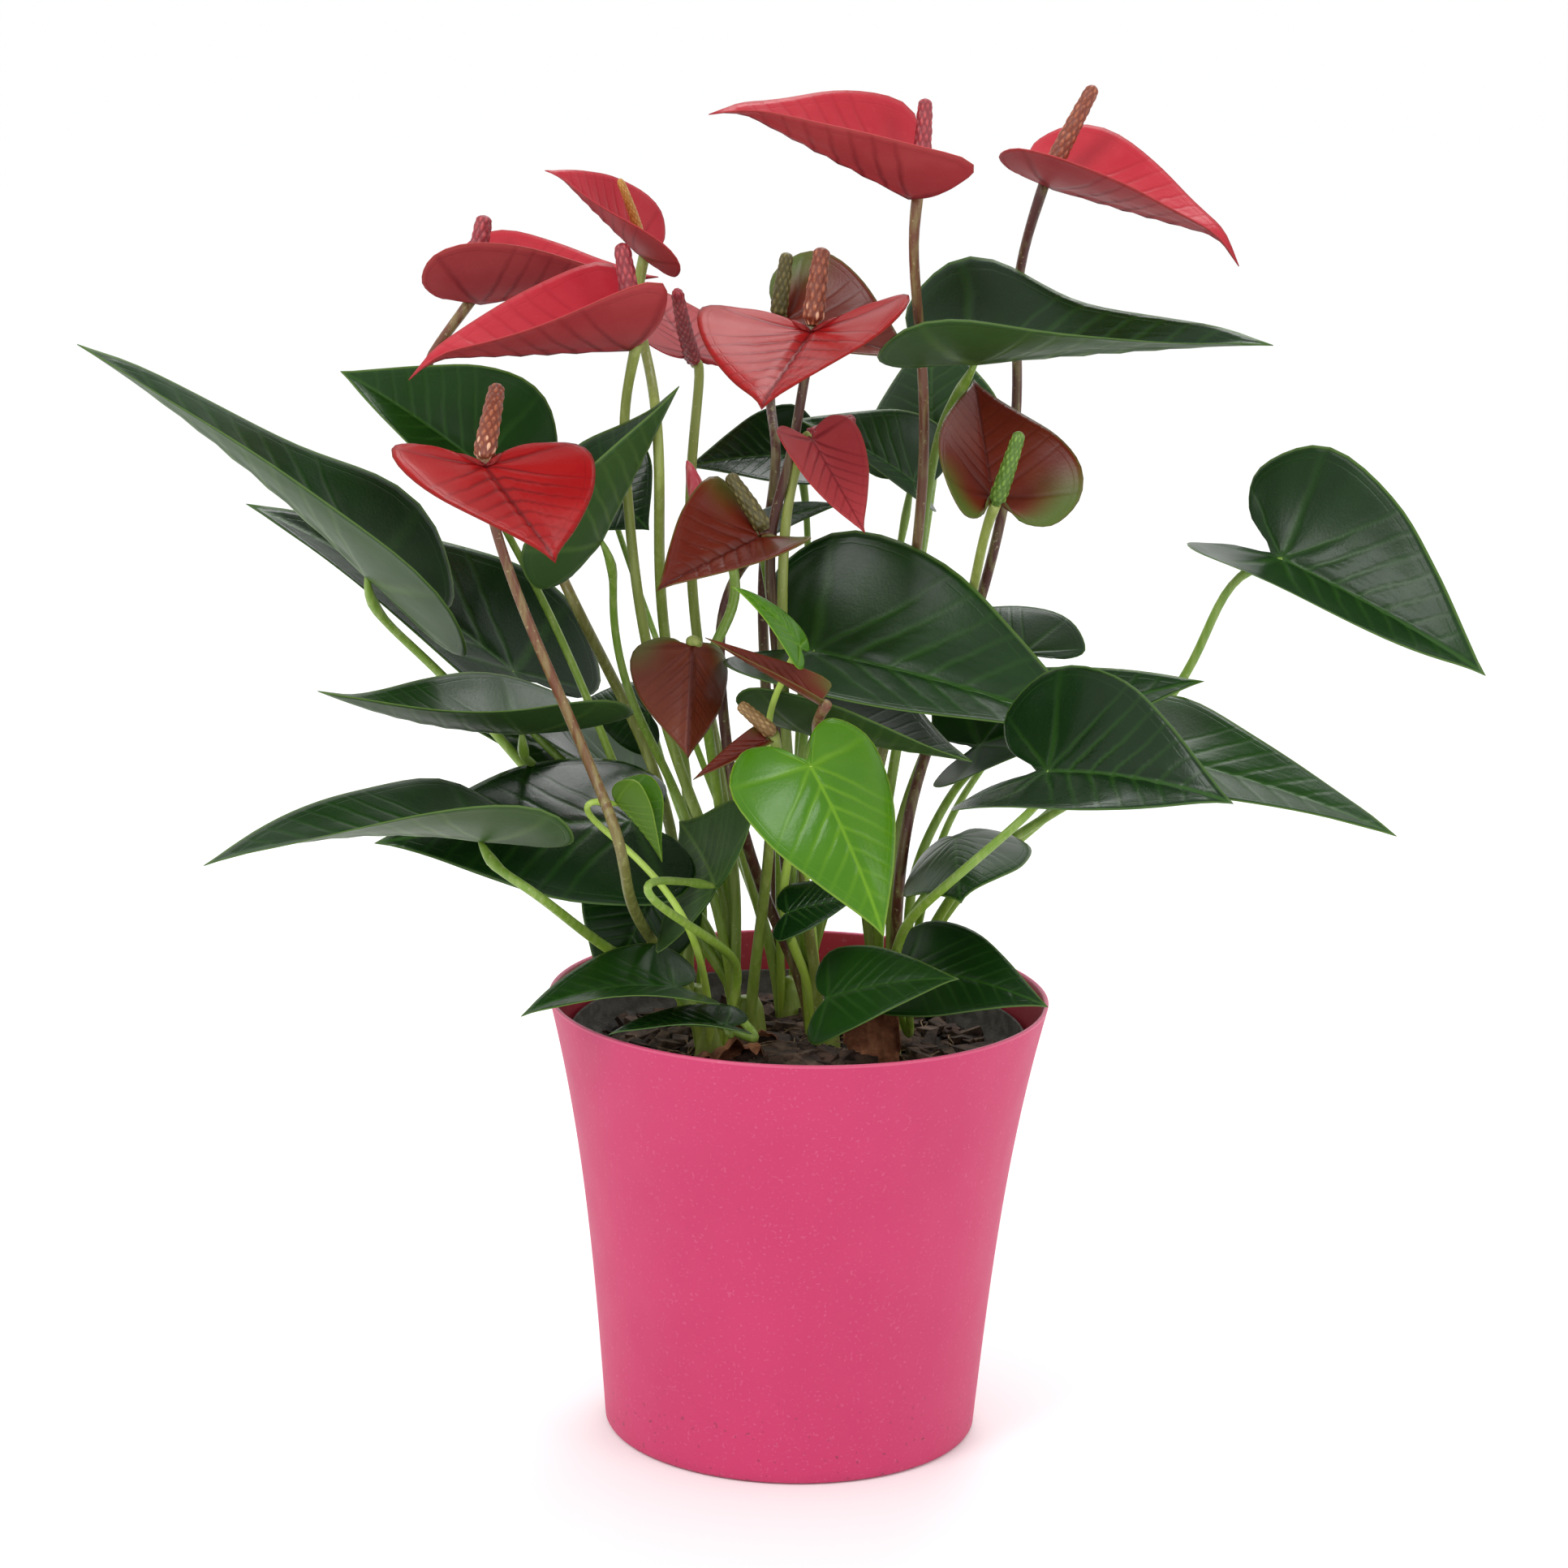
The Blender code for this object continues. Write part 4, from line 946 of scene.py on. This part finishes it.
def soft_light(name, place, size, power):
    lamp = bpy.data.lights.new(name, "AREA")
    lamp.shape = "DISK"
    lamp.size = size
    lamp.energy = power
    made = put(name, lamp)
    made.location = place
    aim(made, LIGHT_TARGET)


def make_studio():
    look = Look("floor_white", 0.6)
    colour = look.tint((0.95, 0.95, 0.95), look.noise(0.4, 3.0), 0.15, (0.92, 0.92, 0.92))
    material = look.finish(colour)
    mesh = bpy.data.meshes.new("floor")
    corners = ((-FLOOR_SIDE, FLOOR_FRONT), (FLOOR_SIDE, FLOOR_FRONT),
               (FLOOR_SIDE, FLOOR_BACK), (-FLOOR_SIDE, FLOOR_BACK))
    mesh.from_pydata([(*corner, FLOOR_LEVEL) for corner in corners], [], [(0, 1, 2, 3)])
    mesh.materials.append(material)
    floor = put("floor", mesh)
    world = bpy.data.worlds.new("soft_white")
    world.use_nodes = True
    background = world.node_tree.nodes["Background"]
    background.inputs["Color"].default_value = (1.0, 1.0, 1.0, 1.0)
    background.inputs["Strength"].default_value = SKY_STRENGTH
    bpy.context.scene.world = world
    soft_light("key_left", (-0.9, -1.1, 1.5), size=0.7, power=12)
    soft_light("fill_right", (1.3, -0.9, 0.9), size=0.8, power=4)
    soft_light("top_back", (0.2, 0.9, 1.5), size=0.7, power=7)


def make_camera():
    """Looks a little down at the plant from in front, level with its upper leaves."""
    pitch, yaw, roll = CAMERA_PITCH, CAMERA_YAW, CAMERA_ROLL
    forward = np.array([math.sin(yaw) * math.cos(pitch), math.cos(yaw) * math.cos(pitch), -math.sin(pitch)])
    right = np.array([math.cos(yaw), -math.sin(yaw), 0.0])
    up = np.cross(right, forward)
    right, up = (math.cos(roll) * right + math.sin(roll) * up,
                 math.cos(roll) * up - math.sin(roll) * right)
    view = Matrix([[right[row], up[row], -forward[row]] for row in range(3)]).to_4x4()
    view.translation = CAMERA_PLACE
    lens = bpy.data.cameras.new("camera")
    lens.sensor_width = CAMERA_SENSOR
    lens.lens = CAMERA_LENS
    lens.clip_end = 100.0
    camera = put("camera", lens)
    camera.matrix_world = view
    bpy.context.scene.camera = camera


bpy.context.scene.view_settings.view_transform = "Standard"
make_camera()
make_studio()
make_cover_pot()
make_nursery_pot()
make_potting_mix()
scatter_chips("bark_chips", 420, (0.003, 0.011), LOOKS["bark"], 0.0012)
scatter_chips("bark_chips_pale", 110, (0.004, 0.013), LOOKS["bark_pale"], 0.0018)
scatter_fibres(130)

# The plant, in mm and degrees, with the same places and sizes as the CAD. A row holds the name, the shoot,
# where the blade is joined, length, width, heading, slope, roll, fold, lobe, the stem's route and details.
LEAVES = (
    ("leaf_01", 3, (-137, -5, 153), 118, 80, 203, 40, -17, 32, 0.28, ((-52, 21, 47), (-78, 18, 75),
     (-100, 16, 101), (-117, 14, 120)), dict(relief=0.6, arch=3, slim=0.9)),
    ("leaf_02", 3, (-95, 41, 115), 102, 76, 190, 33, -29, 18, 0.3, ((-38, 18, 42), (-60, 19, 74),
     (-89, 33, 97)), dict(arch=4, slim=0.5)),
    ("leaf_03", 3, (-105, 19, 186), 52, 59, 187, 34, -50, 35, 0.4, ((-55, 20, 74), (-83, 42, 133)), {}),
    ("leaf_04", 1, (-64, -30, 170), 56, 64, 337, 63, 21, 42, 0.3, ((-28, 2, 52), (-41, 10, 84),
     (-56, -7, 119), (-61, -11, 146)), dict(arch=0)),
    ("leaf_05", 4, (-67, 45, 177), 23, 36, 328, -37, 60, 1, 0.25, ((-18, 33, 50), (-37, 36, 97),
     (-56, 61, 140)), {}),
    ("leaf_06", 1, (-87, -25, 109), 74, 68, 214, 16, 1, 26, 0.34, ((-35, 9, 48), (-61, -10, 69),
     (-85, 23, 86)), dict(arch=-3, slim=0.4)),
    ("leaf_07", 2, (-97, -60, 83), 92, 72, 213, 2, 2, 25, 0.22, ((-60, -28, 41), (-82, -71, 71)),
     dict(arch=5, slim=0.6)),
    ("leaf_08", 1, (-54, -10, 78), 82, 70, 197, -2, -30, -7, 0.2, ((-30, 6, 32), (-45, 7, 56)), {}),
    ("leaf_09", 2, (-38, -45, 34), 50, 44, 200, -6, -8, 14, 0.2, ((-12, -36, 14),), dict(arch=4)),
    ("leaf_10", 3, (-48, -9, 53), 35, 43, 215, -60, -70, -15, 0.2, ((-38, 15, 30),), {}),
    ("leaf_11", 2, (-22, -58, 26), 36, 28, 185, -4, 0, 12, 0.2, (), {}),
    ("leaf_12", 2, (-26, -38, 64), 48, 56, 106, 12, 118, -10, 0.1, ((-18, -21, 35), (-48, -102, 80)), {}),
    ("leaf_13", 2, (-57, -40, 91), 23, 26, 341, -48, -2, 67, 0.2, ((-35, -56, 59), (-54, -37, 76),
     (-67, -42, 87), (-65, -58, 96)), dict(arch=1, young=True)),
    ("leaf_14", 5, (2, -90, 115), 55, 50, 319, -57, 33, -22, 0.24, ((-6, -19, 53), (-1, -43, 90)),
     dict(relief=0.6, arch=5, young=True)),
    ("leaf_15", 7, (9, -42, 31), 46, 34, 333, 16, 46, 2, 0.15, ((19, -31, 20),), dict(arch=3)),
    ("leaf_16", 7, (34, -23, 36), 49, 40, 332, -6, 36, 1, 0.2, ((36, -3, 6),), dict(arch=3)),
    ("leaf_17", 5, (-4, -35, 56), 25, 22, 340, 18, 42, 1, 0.2, ((-3, -10, 39),), dict(arch=1)),
    ("leaf_18", 7, (48, -14, 76), 41, 50, 271, -15, 19, -31, 0.36, ((32, -5, 42), (46, 1, 63)), {}),
    ("leaf_19", 5, (2, -15, 135), 98, 84, 345, -12, 30, 27, 0.22, ((-3, -4, 68), (0, 37, 98)),
     dict(relief=0.8, arch=3)),
    ("leaf_20", 7, (72, -80, 113), 65, 66, 322, 1, 40, 29, 0.38, ((31, -24, 47), (47, -60, 75),
     (68, -47, 91)), dict(relief=0.7, arch=4)),
    ("leaf_21", 6, (104, -15, 105), 86, 60, 336, -11, 18, 11, 0.25, ((53, 13, 57), (80, 7, 80)),
     dict(arch=3, slim=0.9)),
    ("leaf_22", 6, (148, 5, 164), 77, 75, 326, -21, 33, 38, 0.3, ((51, 19, 50), (83, 16, 81),
     (119, 12, 120), (131, 6, 157), (139, 5, 164)), dict(relief=0.7)),
    ("leaf_23", 6, (49, -10, 225), 93, 82, 344, 7, 12, 38, 0.26, ((25, 18, 63), (32, 13, 117), (35, 8, 168),
     (38, 5, 192), (41, 16, 208)), dict(relief=0.7, arch=1, slim=1.2)),
    ("leaf_24", 4, (39, 51, 191), 45, 50, 90, 48, -16, -12, 0.2, ((26, 46, 97), (37, 78, 145)), {}),
    ("leaf_25", 4, (33, 35, 181), 43, 44, 188, 28, -32, 25, 0.2, ((18, 32, 100), (28, 34, 153)), {}),
    ("leaf_26", 4, (-4, 45, 187), 36, 34, 188, -6, -43, 20, 0.2, ((-2, 36, 98), (0, 41, 151)), {}),
    ("leaf_27", 5, (2, -27, 111), 58, 64, 327, 0, -7, 31, 0.3, ((-1, -9, 56), (3, -18, 84)), dict(arch=0)),
    ("leaf_28", 6, (70, 35, 126), 36, 42, 145, 11, -38, -9, 0.4, ((46, 27, 69), (66, 44, 98)), {}),
    ("leaf_29", 3, (-51, 40, 102), 24, 27, 192, 9, -57, -22, 0.2, ((-32, 25, 49), (-45, 52, 78)),
     dict(arch=1)),
    ("leaf_30", 3, (-58, 42, 80), 56, 44, 196, 20, -28, -2, 0.2, ((-53, 47, 46),), {}),
    ("leaf_31", 6, (55, -5, 104), 74, 54, 348, 20, 32, 21, 0.2, ((36, 19, 55), (48, 17, 84)),
     dict(slim=0.5)),
    ("leaf_32", 4, (-16, 12, 169), 29, 20, 338, 19, 27, -1, 0.2, ((-8, 25, 74), (-10, 20, 128)),
     dict(arch=1)),
    ("leaf_33", 5, (-2, -66, 146), 28, 18, 191, 42, -27, -3, 0.15, ((0, -22, 72), (-12, -43, 115)),
     dict(young=True)),
)
FLOWERS = (
    ("spathe_01", 6, (28, -20, 276), 72, 64, 208, 25, -15, 40, 0.04, ((19, 16, 63), (29, 9, 118),
     (34, 1, 169), (35, -5, 206), (30, -14, 254)), dict(hook=5, relief=0.6, spadix=(32, -13, 305),
     spadix_radius=3.1)),
    ("spathe_02", 6, (73, 15, 277), 64, 56, 337, -12, 4, 34, 0.22, ((33, -4, 82), (51, 34, 127),
     (60, 16, 169), (66, 40, 207), (62, 22, 249)), dict(hook=7, stalk_kind="dark", spadix_kind="brown",
     relief=0.6, spadix=(85, 20, 308), spadix_radius=3.1)),
    ("spathe_03", 3, (-55, 0, 256), 42, 40, 218, 40, -35, 34, 0.22, ((-36, 14, 76), (-46, 2, 143),
     (-46, -35, 203), (-52, 4, 225), (-55, 1, 234)), dict(hook=2, stalk_kind="pale", spadix_kind="yellow",
     spadix=(-60, -15, 279), spadix_radius=1.7)),
    ("spathe_04", 3, (-106, 35, 235), 60, 56, 345, 11, 0, 45, 0.22, ((-42, 22, 74), (-63, 29, 117),
     (-76, -1, 151), (-89, 80, 158), (-94, 66, 186), (-105, 36, 207), (-136, 40, 208)),
     dict(spadix=(-105, 40, 262), spadix_radius=3.7)),
    ("spathe_05", 1, (-56, -25, 229), 69, 70, 201, -1, -4, 44, 0.08, ((-25, 7, 54), (-41, 1, 97),
     (-52, -5, 142), (-57, -11, 187), (-58, -17, 215)), dict(hook=6, stalk_kind="pale", relief=0.6,
     slim=0.5, spadix=(-59, -18, 260), spadix_radius=3.5)),
    ("spathe_06", 4, (-38, 23, 221), 45, 48, 121, 28, -168, -8, 0.12, ((-23, 25, 73), (-35, 20, 130),
     (-38, 14, 181)), dict(stalk_kind="pale", spadix=(-42, -17, 246), spadix_radius=2.8)),
    ("spathe_07", 5, (-1, -15, 234), 57, 68, 255, -16, 6, 16, 0.16, ((-6, -1, 67), (-8, -5, 120),
     (-13, -8, 170), (-5, -11, 195), (-4, -5, 216)), dict(kind="red", stalk_kind="dark",
     spadix_kind="brown", relief=1.0, spadix=(2, -8, 259), spadix_radius=3.5)),
    ("spathe_08", 4, (-9, 35, 231), 46, 50, 334, -10, 31, 29, 0.25, ((-12, 37, 98), (-15, 38, 151),
     (-10, 19, 191), (-15, 51, 205)), dict(stalk_kind="dark", spadix_kind="olive", spadix=(-9, 34, 253),
     spadix_radius=2.9, old=True)),
    ("spathe_09", 2, (-96, -65, 198), 56, 62, 297, -20, -1, 10, 0.16, ((-39, -8, 28), (-52, -40, 57),
     (-54, -77, 87), (-63, -54, 101), (-71, -57, 121), (-86, -60, 156), (-94, -54, 177)), dict(kind="red",
     spadix_kind="brown", relief=1.0, spadix=(-95, -36, 218), spadix_radius=3.5)),
    ("spathe_10", 5, (-15, -35, 174), 44, 46, 225, -15, -21, 28, 0.06, ((-12, -1, 53), (-22, -18, 91),
     (-27, -9, 126), (-27, -11, 148), (-21, -5, 160)), dict(stalk_kind="dark", spadix_kind="olive",
     relief=0.9, spadix=(-25, -31, 192), spadix_radius=2.9, old=True)),
    ("spathe_11", 5, (0, -20, 201), 36, 30, 310, -44, -169, -22, 0.16, ((-2, -3, 67), (-7, -9, 121),
     (-8, -14, 166), (-6, -4, 187)), dict(stalk_kind="pale", spadix=(13, -4, 206), spadix_radius=2.6)),
    ("spathe_12", 1, (-35, -42, 140), 35, 44, 269, -63, 164, 46, 0.12, ((-21, 3, 55), (-27, -5, 94),
     (-32, -13, 124)), dict(stalk_kind="pale", relief=0.8, spadix=(-37, -29, 120), spadix_radius=2.2,
     old=True)),
    ("spathe_13", 6, (56, -20, 185), 42, 56, 103, 52, 12, 31, 0.28, ((30, 11, 70), (46, 20, 116),
     (52, -10, 159), (54, -15, 173)), dict(stalk_kind="pale", spadix_kind="green", spadix=(63, -32, 207),
     spadix_radius=2.8, old=True)),
    ("spathe_14", 1, (-11, -55, 115), 26, 12, 197, -25, -20, 29, 0.02, ((-11, -18, 63), (-9, -41, 100)),
     dict(stalk_kind="pale", spadix_kind="tan", spadix=(-20, -56, 126), spadix_radius=2.5, old=True)),
    ("spathe_15", 5, (4, -70, 130), 39, 14, 177, 29, -27, 52, 0.02, ((0, -20, 69), (4, -17, 100)),
     dict(old=True)),
)
for *blade, details in LEAVES:
    grow_leaf(*blade, **details)
for *blade, details in FLOWERS:
    grow_flower(*blade, **details)

grow_bud("flower_bud", shoot=1, at=(-27, -15, 172), tip=(-39, -15, 193), radius=3.6,
         stalk=((-23, 7, 54), (-28, -9, 94), (-32, -30, 133), (-20, -18, 151)))

make_shoots()
make_bract("bract_1", 1, -1.9, 0.013, 0.004, 3.4, 0.002)
make_bract("bract_2", 2, -1.1, 0.017, 0.009, 2.6, 0.007)
make_bract("bract_7", 7, -1.9, 0.034, 0.006, 2.0, 0.002)
